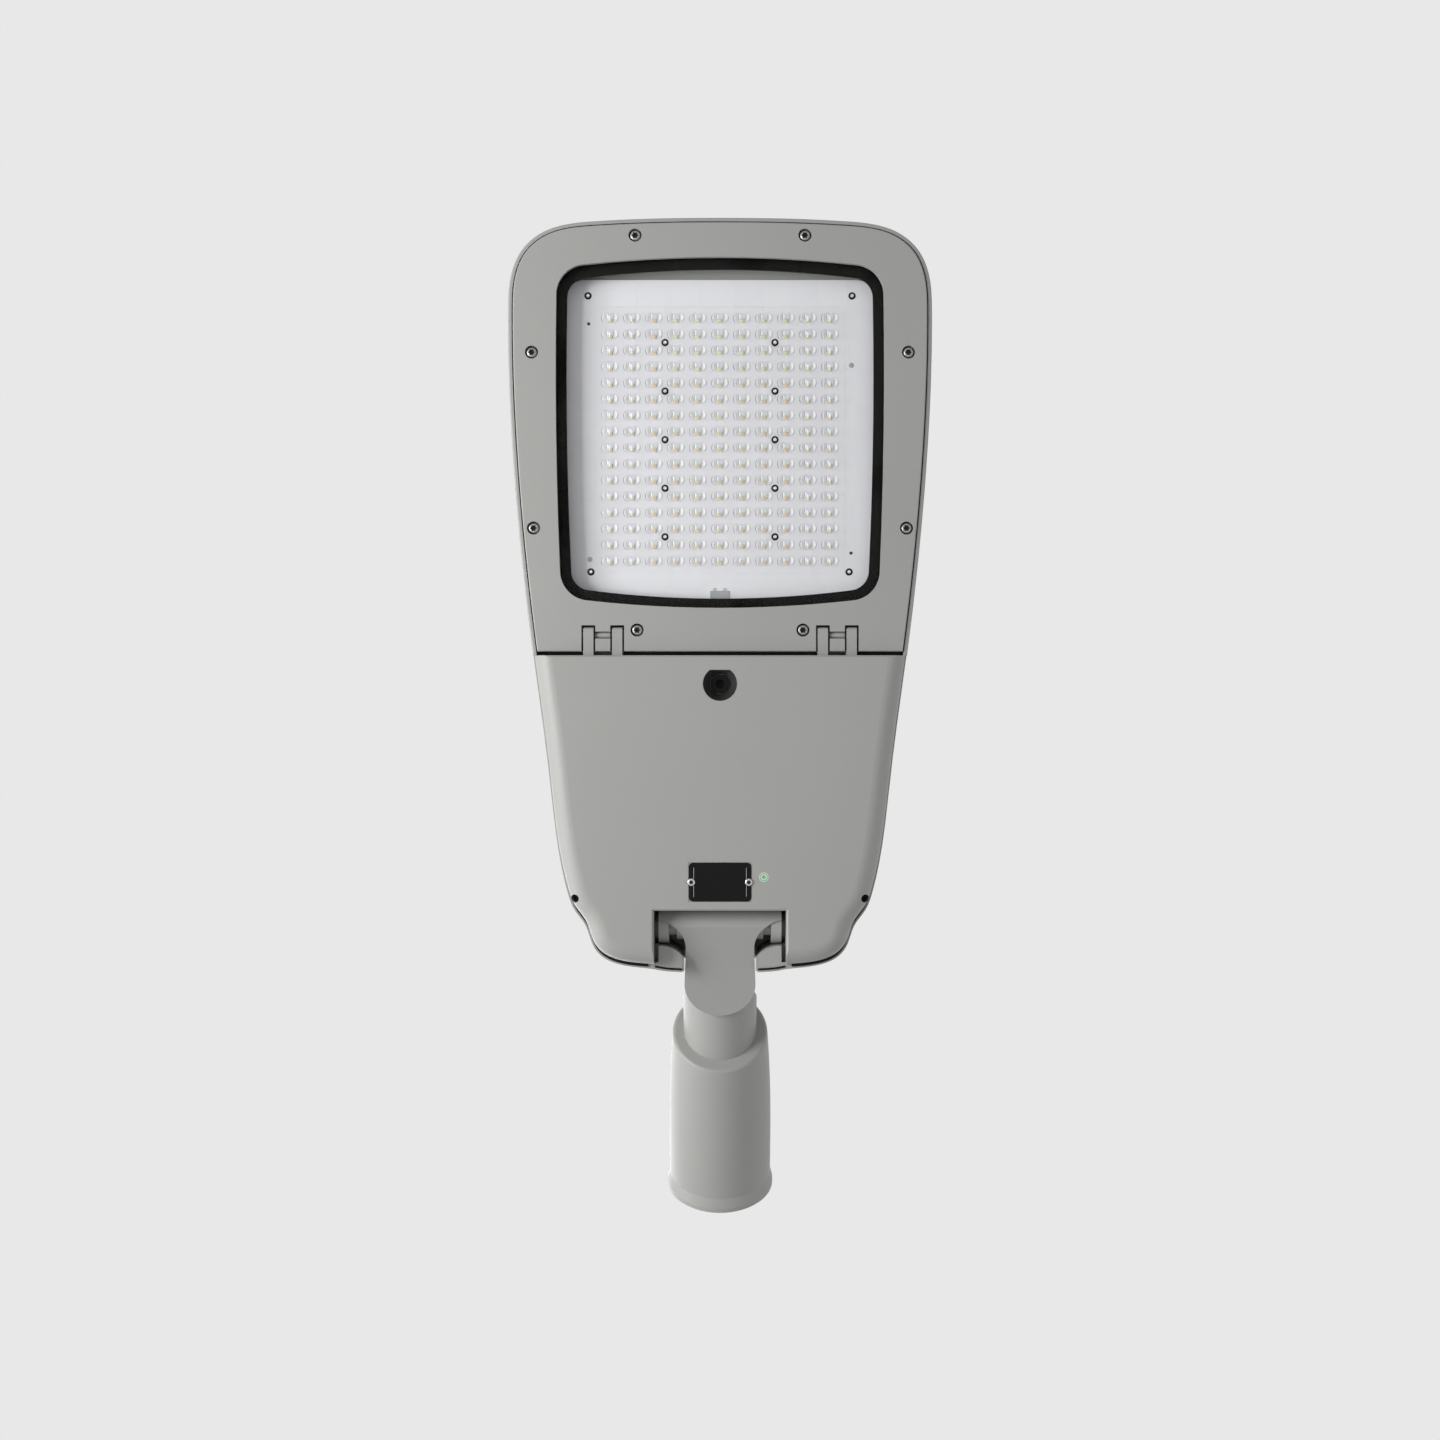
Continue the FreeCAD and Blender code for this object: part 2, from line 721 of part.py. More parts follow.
def cover_ear(x):
    """One hinge ear: an arm from the cover's front wall with a rounded end around the pin."""
    rear, front = parting_y - cover_gap - 4, hinge_y + ear_reach
    low, high = 0.0, 2 * hinge_z
    ear = block(x - ear_width / 2, x + ear_width / 2, rear, front, low, high)
    ends = [e for e in ear.Edges if max(abs(e.BoundBox.YMin - front), abs(e.BoundBox.YMax - front)) < 1e-4]
    across = [e for e in ends if e.BoundBox.ZLength < 1e-4]
    return ear.makeFillet(ear_round, across)


def make_gear_cover():
    """The hinged cover of the gear compartment, with ears, lock well, screw wells and the arm's notch."""
    cover = cover_form()
    low, high = -cover_drop + cover_wall, frame_thickness + 5
    hollow = cover_prism(cover_rim + cover_inset, low, high).cut(notch_space(cover_wall))
    mouth = V(lock_x, lock_y, -cover_drop)
    lock_tube = rod(lock_boss, mouth, lock_seat() + cover_drop, Z_AXIS)
    lock_tube = lock_tube.fuse(rod(lock_mouth + cover_wall, mouth, lock_cone_depth + 2, Z_AXIS))
    hollow = hollow.cut(lock_tube)
    lock_tube = lock_tube.common(cover_prism(cover_inset + 7, -cover_drop, 30))
    cover = cover.cut(hollow).fuse(lock_tube).cut(notch_space(0))
    for side in (-1, 1):
        for ear in (-1, 1):
            cover = cover.fuse(cover_ear(side * hinge_x + ear * ear_spacing / 2))
    cuts = [seal_path(frame_thickness - seal_groove, frame_thickness + 5), notch_edge()]
    cuts.append(seal_flange_plate(frame_thickness + 5))
    cone = Part.makeCone(lock_mouth, lock_throat, lock_cone_depth, mouth, Z_AXIS)
    cuts.append(cone.common(zone(-FAR, lock_y + lock_flat)))
    cuts.append(rod(lock_well, mouth, lock_cone_depth + lock_well_depth - cover_wall, Z_AXIS))
    cuts.append(rod(lock_screw_shank + screw_gap, mouth, 60, Z_AXIS))
    for side in (-1, 1):
        base = V(side * corner_screw_x, corner_screw_y, -cover_drop - 1)
        cuts.append(rod(corner_screw_radius + screw_gap, base, cover_drop + 1 + corner_seat_z, Z_AXIS))
        cuts.append(rod(corner_screw_shank + screw_gap, base, 40, Z_AXIS))
    pin_length = ear_spacing + ear_width + 2
    for side in (-1, 1):
        start = V(side * hinge_x - pin_length / 2, hinge_y, hinge_z)
        cuts.append(rod(hinge_pin_radius + hinge_bore_gap, start, pin_length, X_AXIS))
    half_x, half_y = plate_width / 2 + plate_gap, plate_length / 2 + plate_gap
    floor = -cover_drop + plate_recess
    cuts.append(block(-half_x, half_x, plate_y - half_y, plate_y + half_y, -FAR, floor))
    return cover.cut(Part.makeCompound(cuts)).removeSplitter()


def notch_space(grow):
    """The arm's notch in the gear cover, grown by a margin."""
    return block(-pocket_half - grow, pocket_half + grow, -FAR, pocket_front + grow, -FAR, FAR)


def notch_edge():
    """The bevel along the lower edges of the arm's notch."""
    sections, rear = [], head_rear_y - 20
    for grow, z in ((2 * notch_bevel, -cover_drop - notch_bevel), (0, -cover_drop + notch_bevel)):
        half, front = pocket_half + grow, pocket_front + grow
        corners = [V(-half, rear, z), V(-half, front, z), V(half, front, z), V(half, rear, z)]
        sections.append(Part.makePolygon(corners + corners[:1]))
    return Part.makeLoft(sections, True, True)


def seal_path(low, high):
    """The cover seal's closed track, around the compartment and the arm's pocket."""
    near = cover_wall + seal_step
    outer = cover_prism(cover_inset + seal_inset, low, high)
    inner = cover_prism(cover_inset + seal_inset + seal_width, low - 1, high + 1)
    return outer.cut(notch_space(near)).cut(inner.cut(notch_space(near + seal_width)))


def seal_flange_plate(high):
    """The seal's flat flange, from its track out past the cover's rear edge."""
    low = seat_z - seal_flange
    plate = outline_prism(seal_flange_inset, low, high).common(zone(-FAR, parting_y - cover_gap))
    plate = plate.cut(notch_space(cover_wall + seal_step))
    hole = rod(corner_screw_shank + screw_gap, V(corner_screw_x, corner_screw_y, 0), FAR, Z_AXIS)
    inner = cover_prism(cover_inset + seal_inset + seal_width / 2, low - 1, high + 1)
    return plate.cut(Part.makeCompound(both_sides(hole) + [inner]))


def make_cover_seal():
    """The silicone seal of the gear cover: a cord in its groove and a flange that shows past its rear."""
    return seal_path(frame_thickness - seal_groove, seat_z).fuse(seal_flange_plate(seat_z)).removeSplitter()


def make_hinge_pins():
    """Two steel pins, one through each pair of ears and the tongue between them."""
    pins = []
    for side in (-1, 1):
        start = V(side * hinge_x - hinge_pin_half(), hinge_y, hinge_z)
        pins.append(rod(hinge_pin_radius, start, 2 * hinge_pin_half(), X_AXIS))
    return Part.makeCompound(pins)


def make_lock_screw():
    """The captive lock screw deep in the cover's well."""
    seat = lock_seat() - cover_wall
    head = rod(lock_screw_head, V(lock_x, lock_y, seat - 6), 6, Z_AXIS)
    head = head.cut(hexagon(6.0, V(lock_x, lock_y, seat - 6), 3.5, Z_AXIS))
    length = cover_wall + lock_gap + lock_screw_tip
    return head.fuse(rod(lock_screw_shank, V(lock_x, lock_y, seat), length, Z_AXIS))


def make_corner_screws():
    """The two captive screws at the cover's rear corners."""
    length = seat_z - corner_seat_z + corner_screw_tip
    sizes = (corner_screw_radius, corner_screw_head_height, corner_screw_shank, length)
    one = screw(corner_screw_x, corner_screw_y, corner_seat_z, *sizes)
    return Part.makeCompound(both_sides(one))


def make_rating_plate():
    """The plain black plate on the gear cover."""
    low = -cover_drop + plate_recess - plate_thickness
    half_x, half_y = plate_width / 2, plate_length / 2
    plate = block(-half_x, half_x, plate_y - half_y, plate_y + half_y, low, low + plate_thickness)
    return plate.makeFillet(plate_corner, upright_edges(plate))


def make_plate_rivets():
    """Two round-headed rivets that hold the plate."""
    low = -cover_drop + plate_recess - plate_thickness
    head = rod(rivet_radius, V(rivet_spacing / 2, plate_y, low - rivet_height), rivet_height, Z_AXIS)
    head = head.makeChamfer(screw_bevel * rivet_height, edges_at(head, low - rivet_height))
    return Part.makeCompound(both_sides(head))


# Gear inside the compartment


def make_gear_tray():
    """The steel plate that carries the gear."""
    tray = block(-tray_half, tray_half, tray_rear_y, tray_front_y, tray_z, tray_z + tray_thickness)
    tray = tray.makeFillet(6.0, upright_edges(tray))
    places = tray_screw_places()
    holes = [rod(small_screw_shank + screw_gap, V(x, y, tray_z - 1), 5, Z_AXIS) for x, y in places]
    lock = rod(lock_boss + 2, V(lock_x, lock_y, tray_z - 1), 5, Z_AXIS)
    return tray.cut(Part.makeCompound(holes + [lock]))


def make_tray_screws():
    """Four screws that hold the tray to the casting."""
    length = tray_thickness + small_screw_reach()
    sizes = (small_screw_head, small_screw_head_height, small_screw_shank, length)
    return Part.makeCompound([screw(x, y, tray_z, *sizes) for x, y in tray_screw_places()])


def driver_screw_places():
    """Where the two screws of the driver stand."""
    reach = driver_length / 2 + driver_foot / 2
    return [(side * reach, driver_y) for side in (-1, 1)]


def make_driver():
    """The LED driver: a long metal box with a foot at each end."""
    half_x, half_y = driver_length / 2, driver_width / 2
    low = tray_z - driver_height
    box = block(-half_x, half_x, driver_y - half_y, driver_y + half_y, low, tray_z)
    along = [e for e in edges_at(box, low) if e.BoundBox.XLength > 1]
    box = box.makeFillet(driver_corner, along)
    foot_low = tray_z - driver_foot_thickness
    foot = block(-half_x - driver_foot, half_x + driver_foot, driver_y - 14, driver_y + 14, foot_low, tray_z)
    hole = small_screw_shank + screw_gap
    holes = [rod(hole, V(x, y, foot_low - 1), 8, Z_AXIS) for x, y in driver_screw_places()]
    return box.fuse(foot).cut(Part.makeCompound(holes))


def make_driver_screws():
    """Two screws through the driver's feet into the tray."""
    sizes = (small_screw_head, small_screw_head_height, small_screw_shank, driver_foot_thickness)
    low = tray_z - driver_foot_thickness
    return Part.makeCompound([screw(x, y, low, *sizes) for x, y in driver_screw_places()])


def make_terminal_block():
    """The three-way terminal block with its wire entries."""
    half_x, half_y = terminal_ways * terminal_pitch / 2, terminal_depth / 2
    low = tray_z - terminal_height
    base = block(-half_x, half_x, -half_y, half_y, low, tray_z).translated(V(terminal_x, terminal_y, 0))
    first = terminal_x - (terminal_ways - 1) / 2 * terminal_pitch
    cuts = []
    for way in range(terminal_ways):
        x = first + way * terminal_pitch
        cuts.append(rod(2.8, V(x, terminal_y, low), 6, Z_AXIS))
        cuts.append(rod(2.4, V(x, terminal_y - half_y, low + 10), 6, Y_AXIS))
        cuts.append(rod(2.4, V(x, terminal_y + half_y, low + 10), 6, -Y_AXIS))
    return base.cut(Part.makeCompound(cuts))


def make_surge_protector():
    """The surge protector, a small moulded block."""
    half_x, half_y = surge_length / 2, surge_width / 2
    low = tray_z - surge_height
    body = block(surge_x - half_x, surge_x + half_x, surge_y - half_y, surge_y + half_y, low, tray_z)
    return body.makeFillet(3.0, upright_edges(body) + edges_at(body, low))


def make_cable_gland():
    """The gland where the supply cable enters from the pivot pocket."""
    start = V(gland_x, pocket_front + pocket_wall, gland_z)
    thread = rod(gland_thread_radius - 0.1, start - V(0, pocket_wall, 0), pocket_wall + 6, Y_AXIS)
    nut = hexagon(2 * gland_radius * 0.9, start, 4, Y_AXIS)
    collar = hexagon(2 * gland_radius * 0.9, V(gland_x, pocket_front, gland_z), 4.0, -Y_AXIS)
    dome = rod(gland_thread_radius, V(gland_x, pocket_front - 4.0, gland_z), 5, -Y_AXIS)
    body = thread.fuse(nut).fuse(collar).fuse(dome)
    return body.cut(rod(gland_bore, V(gland_x, pocket_front - 20, gland_z), 60, Y_AXIS))


def make_lead_grommet():
    """The rubber grommet in the wall between the gear compartment and the lamp bay."""
    rear = parting_y - cover_gap - cover_rim
    start = V(lead_gland_x, rear - 2, lead_gland_z())
    flange = rod(lead_gland_radius + 1.5, start, 2, Y_AXIS)
    sleeve = rod(lead_gland_radius - 0.05, start, 14, Y_AXIS)
    return flange.fuse(sleeve).cut(rod(2.5, start - V(0, 1, 0), 20, Y_AXIS))


# Arm with the pole socket


def arm_plan():
    """The arm's cross-piece and neck seen from below, with concave flares and a round end."""
    tip, shoulder = V(cross_half, flare_start, 0), V(cross_half, cross_radius, 0)
    waist, heel_y = V(neck_waist, flare_end, 0), neck_half - tongue_length
    heel = V(neck_half, heel_y, 0)
    half = [Part.LineSegment(shoulder, tip), Part.Arc(tip, V(flare_middle_x, flare_middle_y, 0), waist)]
    half.append(Part.LineSegment(waist, heel))
    edges = [edge for curve in half for edge in both_sides(curve.toShape())]
    edges.append(Part.LineSegment(V(-cross_half, cross_radius, 0), shoulder).toShape())
    edges.append(Part.Arc(heel, V(0, -tongue_length, 0), V(-neck_half, heel_y, 0)).toShape())
    return Part.Face(Part.Wire(Part.sortEdges(edges)[0]))


def make_cross_piece():
    """The flanged plate at the pivot with its neck, the bolt's sleeve and the two cheeks."""
    plate = arm_plan().extrude(V(0, 0, 2 * neck_depth_half)).translated(V(0, 0, -neck_depth_half))
    nose = rod(cross_radius, V(-cross_half, 0, 0), 2 * cross_half, X_AXIS)
    ahead = block(-cross_half, cross_half, 0, cross_radius, -neck_depth_half, neck_depth_half)
    plate = plate.cut(ahead.cut(nose))
    hub = rod(hub_radius, V(-hub_half, 0, 0), 2 * hub_half, X_AXIS)
    core = rod(core_radius, V(-cross_half, 0, 0), 2 * cross_half, X_AXIS)
    cheek = rod(cheek_radius, V(cheek_start, 0, 0), cross_half - cheek_start, X_AXIS)
    return plate.multiFuse([hub, core] + both_sides(cheek))


def half_space(lean):
    """A big block ahead of a plane through the origin that leans back by lean degrees."""
    reach = FAR / 5
    ahead = block(-reach, reach, 0, reach, -reach, reach)
    ahead.rotate(V(0, 0, 0), X_AXIS, lean)
    return ahead


def make_sleeve():
    """The socket's sleeve, turned about its axis, with a slanted front and a flared rim at the mouth."""
    side = [V(0, reach - arm_length, radius) for reach, radius in sleeve_profile]
    side.append(V(0, rim_flare_start - arm_length, sleeve_mouth_radius))
    curve = Part.BSplineCurve()
    curve.interpolate(side)
    rim = [side[-1], V(0, rim_band - arm_length, rim_radius), V(0, rim_bevel - arm_length, rim_radius)]
    rim += [V(0, -arm_length, rim_radius - rim_bevel), V(0, -arm_length, 0), V(0, side[0].y, 0), side[0]]
    profile = Part.Face(Part.Wire([curve.toShape()] + Part.makePolygon(rim).Edges))
    sleeve = profile.revolve(V(0, 0, 0), Y_AXIS, 360).translated(V(0, 0, tube_offset))
    front = half_space(-sleeve_slant).translated(V(0, -sleeve_front_start, tube_offset - sleeve_front_radius))
    sleeve = sleeve.cut(front)
    shoulder = [e for e in sleeve.Edges if e.BoundBox.YLength > 5 and e.BoundBox.XLength > 10]
    return sleeve.makeFillet(sleeve_shoulder, shoulder)


def make_arm():
    """The arm casting: cross-piece, neck, inner tube and the socket that slips over the pole's end."""
    axis_z = tube_offset
    tube = rod(tube_radius, V(0, -tube_start, axis_z), arm_length - socket_length - tube_start + 6, -Y_AXIS)
    front = half_space(tube_slant)
    tube = tube.cut(front.translated(V(0, -tube_start, -neck_depth_half)))
    body = make_cross_piece().fuse(tube).fuse(make_sleeve())
    along = [arm_length - clamp_first - i * clamp_spacing for i in range(2)]
    height = axis_z + sleeve_mouth_radius + clamp_boss_rise
    bosses = [rod(clamp_boss_radius, V(0, -s, axis_z), height - axis_z, Z_AXIS) for s in along]
    body = body.multiFuse(bosses)
    cuts = [rod(socket_radius, V(0, -arm_length - 1, axis_z), socket_length + 1, Y_AXIS)]
    cuts.append(rod(cable_way_radius, V(0, -arm_length, axis_z), arm_length - tube_start + 12, Y_AXIS))
    cuts.append(rod(pivot_bolt_radius + pivot_bolt_gap, V(-cross_half - 1, 0, 0), 2 * cross_half + 2, X_AXIS))
    cuts += [rod(clamp_screw_radius + 0.1, V(0, -s, axis_z + 10), 60, Z_AXIS) for s in along]
    return body.cut(Part.makeCompound(cuts)).removeSplitter()


def make_clamp_screws():
    """Two hexagon screws that clamp the pole's end in the socket."""
    seat = tube_offset + sleeve_mouth_radius + clamp_boss_rise
    tip = tube_offset + socket_radius + 0.4
    screws = []
    for i in range(2):
        y = -(arm_length - clamp_first - i * clamp_spacing)
        head = hexagon(2 * clamp_head_radius, V(0, y, seat), clamp_head_height, Z_AXIS)
        screws.append(head.fuse(rod(clamp_screw_radius, V(0, y, tip), seat - tip, Z_AXIS)))
    return Part.makeCompound(screws)


# Pivot hardware


def make_pivot_bolt():
    """The bolt that the head tilts on, through both pocket walls and the arm's cross-piece."""
    wall = pocket_half + pocket_wall + washer_thickness
    tip = bolt_head_height + 1
    shank = rod(pivot_bolt_radius, V(-wall - tip, 0, pivot_height), 2 * wall + tip, X_AXIS)
    return shank.fuse(hexagon(bolt_head_across, V(wall, 0, pivot_height), bolt_head_height, X_AXIS))


def make_pivot_nut():
    """The nut on the far end of the pivot bolt."""
    wall = pocket_half + pocket_wall + washer_thickness
    nut = hexagon(bolt_head_across, V(-wall, 0, pivot_height), bolt_head_height, -X_AXIS)
    return nut.cut(rod(pivot_bolt_radius, V(-wall - 20, 0, pivot_height), 40, X_AXIS))


def make_pivot_washers():
    """Flat washers under the bolt's head and nut."""
    start = V(pocket_half + pocket_wall, 0, pivot_height)
    washer = rod(washer_radius, start, washer_thickness, X_AXIS)
    washer = washer.cut(rod(pivot_bolt_radius + 0.1, start - V(1, 0, 0), washer_thickness + 2, X_AXIS))
    return Part.makeCompound(both_sides(washer))


def make_friction_discs():
    """Discs between the arm's cross-piece and the pocket walls that hold the tilt."""
    start = V(cross_half + disc_gap, 0, pivot_height)
    thickness = pocket_half - cross_half - disc_gap
    disc = rod(disc_radius, start, thickness, X_AXIS)
    disc = disc.cut(rod(pivot_bolt_radius + 0.1, start - V(1, 0, 0), thickness + 2, X_AXIS))
    return Part.makeCompound(both_sides(disc))


# Placing and writing


def pivot_place():
    """The tilt pivot in the part's frame, with the socket's mouth centre at the origin."""
    turn = FreeCAD.Rotation(X_AXIS, -arm_tilt)
    return -turn.multVec(V(0, -arm_length, tube_offset))


def place_head(shape):
    """Moves a head piece from the pivot and the frame's face into the part's frame."""
    return shape.translated(pivot_place() - V(0, 0, pivot_height))


def place_arm(shape):
    """Tilts an arm piece about the pivot and moves it into the part's frame."""
    turned = shape.copy()
    turned.rotate(V(0, 0, 0), X_AXIS, -arm_tilt)
    return turned.translated(pivot_place())


HEAD_PIECES = {
    "housing": make_housing,
    "frame_seal": make_frame_seal,
    "lens_frame": make_lens_frame,
    "frame_screws": make_frame_screws,
    "glass_pane": make_glass,
    "window_gasket": make_window_gasket,
    "led_board": make_led_board,
    "led_chips": make_led_chips,
    "lens_plate": make_lens_plate,
    "board_screws": make_board_screws,
    "gear_cover": make_gear_cover,
    "cover_seal": make_cover_seal,
    "hinge_pins": make_hinge_pins,
    "lock_screw": make_lock_screw,
    "cover_screws": make_corner_screws,
    "rating_plate": make_rating_plate,
    "plate_rivets": make_plate_rivets,
    "gear_tray": make_gear_tray,
    "tray_screws": make_tray_screws,
    "led_driver": make_driver,
    "driver_screws": make_driver_screws,
    "terminal_block": make_terminal_block,
    "surge_protector": make_surge_protector,
    "cable_gland": make_cable_gland,
    "lead_grommet": make_lead_grommet,
    "pivot_bolt": make_pivot_bolt,
    "pivot_nut": make_pivot_nut,
    "pivot_washers": make_pivot_washers,
    "friction_discs": make_friction_discs,
}

ARM_PIECES = {
    "arm": make_arm,
    "clamp_screws": make_clamp_screws,
}


def main():
    """Builds every piece and writes it to parts/NAME.step."""
    os.makedirs("parts", exist_ok=True)
    for pieces, place in ((HEAD_PIECES, place_head), (ARM_PIECES, place_arm)):
        for name, make in pieces.items():
            shape = place(make())
            if not shape.isValid() or not shape.Solids:
                raise ValueError(name + " is not a valid solid")
            shape.exportStep("parts/" + name + ".step")
            print(name, len(shape.Solids), round(shape.Volume / 1000, 2), "cm3")


main()
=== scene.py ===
"""Looks of an LED street light head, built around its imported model.

Metres. +Z is up and the lamp shines down, +Y points away from the pole and +X runs across.
Sizes of the head are drawn from the tilt pivot along Y and from the lens frame's outer face along Z.
"""

import json
import logging
import math
from dataclasses import dataclass
from enum import Enum
from typing import Any, Callable, Optional, Sequence, Union

import bmesh
import bpy
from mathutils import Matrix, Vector

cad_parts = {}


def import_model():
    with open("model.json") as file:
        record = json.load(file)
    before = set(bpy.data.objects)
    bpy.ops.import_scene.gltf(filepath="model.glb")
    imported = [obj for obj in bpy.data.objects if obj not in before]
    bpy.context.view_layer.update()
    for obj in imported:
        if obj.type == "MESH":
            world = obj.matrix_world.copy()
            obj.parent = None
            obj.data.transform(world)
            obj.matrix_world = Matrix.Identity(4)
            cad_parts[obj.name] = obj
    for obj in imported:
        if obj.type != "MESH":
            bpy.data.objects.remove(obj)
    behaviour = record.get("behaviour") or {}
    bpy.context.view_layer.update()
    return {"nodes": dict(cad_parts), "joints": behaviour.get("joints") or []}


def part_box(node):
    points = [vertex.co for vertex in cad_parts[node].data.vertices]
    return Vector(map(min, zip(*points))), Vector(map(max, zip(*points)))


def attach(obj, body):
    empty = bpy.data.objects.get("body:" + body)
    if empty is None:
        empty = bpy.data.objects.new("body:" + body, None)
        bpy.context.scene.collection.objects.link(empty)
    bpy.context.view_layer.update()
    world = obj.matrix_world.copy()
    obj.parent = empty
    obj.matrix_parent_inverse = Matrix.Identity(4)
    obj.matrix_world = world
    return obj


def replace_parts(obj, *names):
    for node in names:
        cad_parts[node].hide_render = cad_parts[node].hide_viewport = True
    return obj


LOG = logging.getLogger("street_light_head")
SIDES = (-1, 1)
SMALLEST_SINE = 0.01

Colour = tuple[float, float, float]
Point = tuple[float, float]
Points = tuple[Point, ...]
Noise = tuple[float, ...]  # its scale, its finer layers and their strength
Number = Union["Signal", float]
Settings = Optional[dict[str, Any]]
Sockets = Optional[dict[Any, Any]]
Ring = list[Vector]
Material = bpy.types.Material
Piece = bpy.types.Object
WHITE: Colour = (1.0, 1.0, 1.0)


class Body(Enum):
    """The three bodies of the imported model."""

    ARM = "arm"
    HEAD = "head"
    COVER = "cover"


class Slot(Enum):
    """Names of the record's material slots, passed with each new piece."""

    SCREW = "screw"
    CHIP = "chip"
    LENS = "lens"
    BOARD = "board"
    PLATE = "plate"
    SEAL = "seal"
    HOUSING = "housing"


class Ends(Enum):
    """How the two ends of a stack of rings are closed."""

    CAPPED = "capped"
    OPEN_START = "open start"
    JOINED = "joined"


# Shader building


class Signal:
    """A number that runs through a node tree, for shader maths in plain expressions."""

    def __init__(self, network: "Network", socket: bpy.types.NodeSocket) -> None:
        """Wraps an output socket of a node tree."""
        self.network = network
        self.socket = socket

    def maths(self, operation: str, *values: Number) -> "Signal":
        """The result of one Math node, from its operation and its inputs in order."""
        sockets = dict(enumerate(values))
        return self.network.signal("ShaderNodeMath", 0, sockets, {"operation": operation})

    def __add__(self, other: Number) -> "Signal":
        """The sum."""
        return self.maths("ADD", self, other)

    __radd__ = __add__

    def __sub__(self, other: Number) -> "Signal":
        """The difference."""
        return self.maths("SUBTRACT", self, other)

    def __rsub__(self, other: float) -> "Signal":
        """The difference, with the plain number first."""
        return self.maths("SUBTRACT", other, self)

    def __mul__(self, other: Number) -> "Signal":
        """The product."""
        return self.maths("MULTIPLY", self, other)

    __rmul__ = __mul__

    def __pow__(self, other: float) -> "Signal":
        """The power."""
        return self.maths("POWER", self, other)

    def __rpow__(self, other: float) -> "Signal":
        """The power of a plain number."""
        return self.maths("POWER", other, self)

    def swing(self, amount: float) -> Number:
        """A change about nothing, for noise around 0.5, or plain nothing for an amount of 0."""
        return amount * (self - 0.5) if amount else 0.0

    def above(self, low: float, high: float) -> "Signal":
        """Rises smoothly from 0 at low to 1 at high."""
        sockets = {"Value": self, "From Min": low, "From Max": high}
        return self.network.signal("ShaderNodeMapRange", 0, sockets, {"interpolation_type": "SMOOTHSTEP"})


class Network:
    """A node tree under construction, with the one method that adds its nodes."""

    def __init__(self, owner: Union[Material, bpy.types.World]) -> None:
        """Empties the owner's node tree.

        Args:
            owner: The material or world that the tree belongs to.
        """
        owner.use_nodes = True
        self.tree = owner.node_tree
        self.tree.nodes.clear()

    def node(self, kind: str, settings: Settings = None, sockets: Sockets = None) -> bpy.types.Node:
        """Adds one node.

        Args:
            kind: The node's type.
            settings: Its own settings, such as a Math node's operation, which are set first.
            sockets: Values, sockets or signals for its inputs, by name or number.

        Returns:
            The new node.
        """
        made = self.tree.nodes.new(kind)
        for key, value in (settings or {}).items():
            setattr(made, key, value)
        for key, value in (sockets or {}).items():
            target = made.inputs[key]
            if isinstance(value, Signal):
                value = value.socket
            if isinstance(value, bpy.types.NodeSocket):
                self.tree.links.new(value, target)
            else:
                target.default_value = value
        return made

    def signal(self, kind: str, output: Any, sockets: Sockets = None, settings: Settings = None) -> Signal:
        """The output of a new node as a number for maths."""
        return Signal(self, self.node(kind, settings, sockets).outputs[output])

    def seen_by(self, rays: Sequence[str]) -> Signal:
        """A number that is 1 for the named kinds of ray and 0 for the others."""
        path = self.node("ShaderNodeLightPath")
        return sum((Signal(self, path.outputs[ray]) for ray in rays), 0.0)


class Surface(Network):
    """A material under construction."""

    def __init__(self, name: str) -> None:
        """Starts an empty material of that name."""
        self.material = bpy.data.materials.new(name)
        super().__init__(self.material)

    def place(self) -> bpy.types.NodeSocket:
        """The point on the surface in metres."""
        return self.node("ShaderNodeTexCoord").outputs["Object"]

    def noise(self, scale: float, detail: float = 2.0, roughness: float = 0.5) -> Signal:
        """Soft noise around 0.5, from its features along a metre, its finer layers and their strength."""
        sockets = {"Vector": self.place(), "Scale": scale, "Detail": detail, "Roughness": roughness}
        return self.signal("ShaderNodeTexNoise", "Fac", sockets)

    def grazing(self, steepness: int = 5) -> Signal:
        """How far the surface turns edge-on: 0 face on, and a steep rise to 1 at its outline."""
        return self.signal("ShaderNodeLayerWeight", "Facing", {"Blend": 0.5}) ** steepness

    def tinted(self, colour: Colour, tone: Signal) -> bpy.types.NodeSocket:
        """A colour scaled by a number that changes over the surface."""
        sockets = {0: colour, 3: tone}
        return self.node("ShaderNodeVectorMath", {"operation": "SCALE"}, sockets).outputs[0]

    def blended(self, factor: Signal, first: Colour, second: Colour) -> bpy.types.NodeSocket:
        """A mix of two colours, from the first at 0 to the second at 1."""
        sockets = {0: factor, 6: opaque(first), 7: opaque(second)}
        return self.node("ShaderNodeMix", {"data_type": "RGBA"}, sockets).outputs[2]

    def bump(self, height: Signal, distance: float) -> bpy.types.NodeSocket:
        """The normal of a surface with a height, where 1 stands for a distance in metres."""
        sockets = {"Height": height, "Distance": distance, "Strength": 1.0}
        return self.node("ShaderNodeBump", None, sockets).outputs[0]

    def finish(self, sockets: dict[str, Any]) -> Material:
        """Adds the shader and the output.

        Args:
            sockets: Values and links for the Principled shader.

        Returns:
            The finished material.
        """
        sockets["Base Color"] = opaque(sockets["Base Color"])
        shader = self.node("ShaderNodeBsdfPrincipled", None, sockets)
        self.node("ShaderNodeOutputMaterial", None, {"Surface": shader.outputs[0]})
        return self.material


def opaque(colour: Any) -> Any:
    """A plain colour with an alpha of 1, or a socket as it is."""
    return (*colour, 1.0) if isinstance(colour, tuple) and len(colour) == 3 else colour


# Finishes


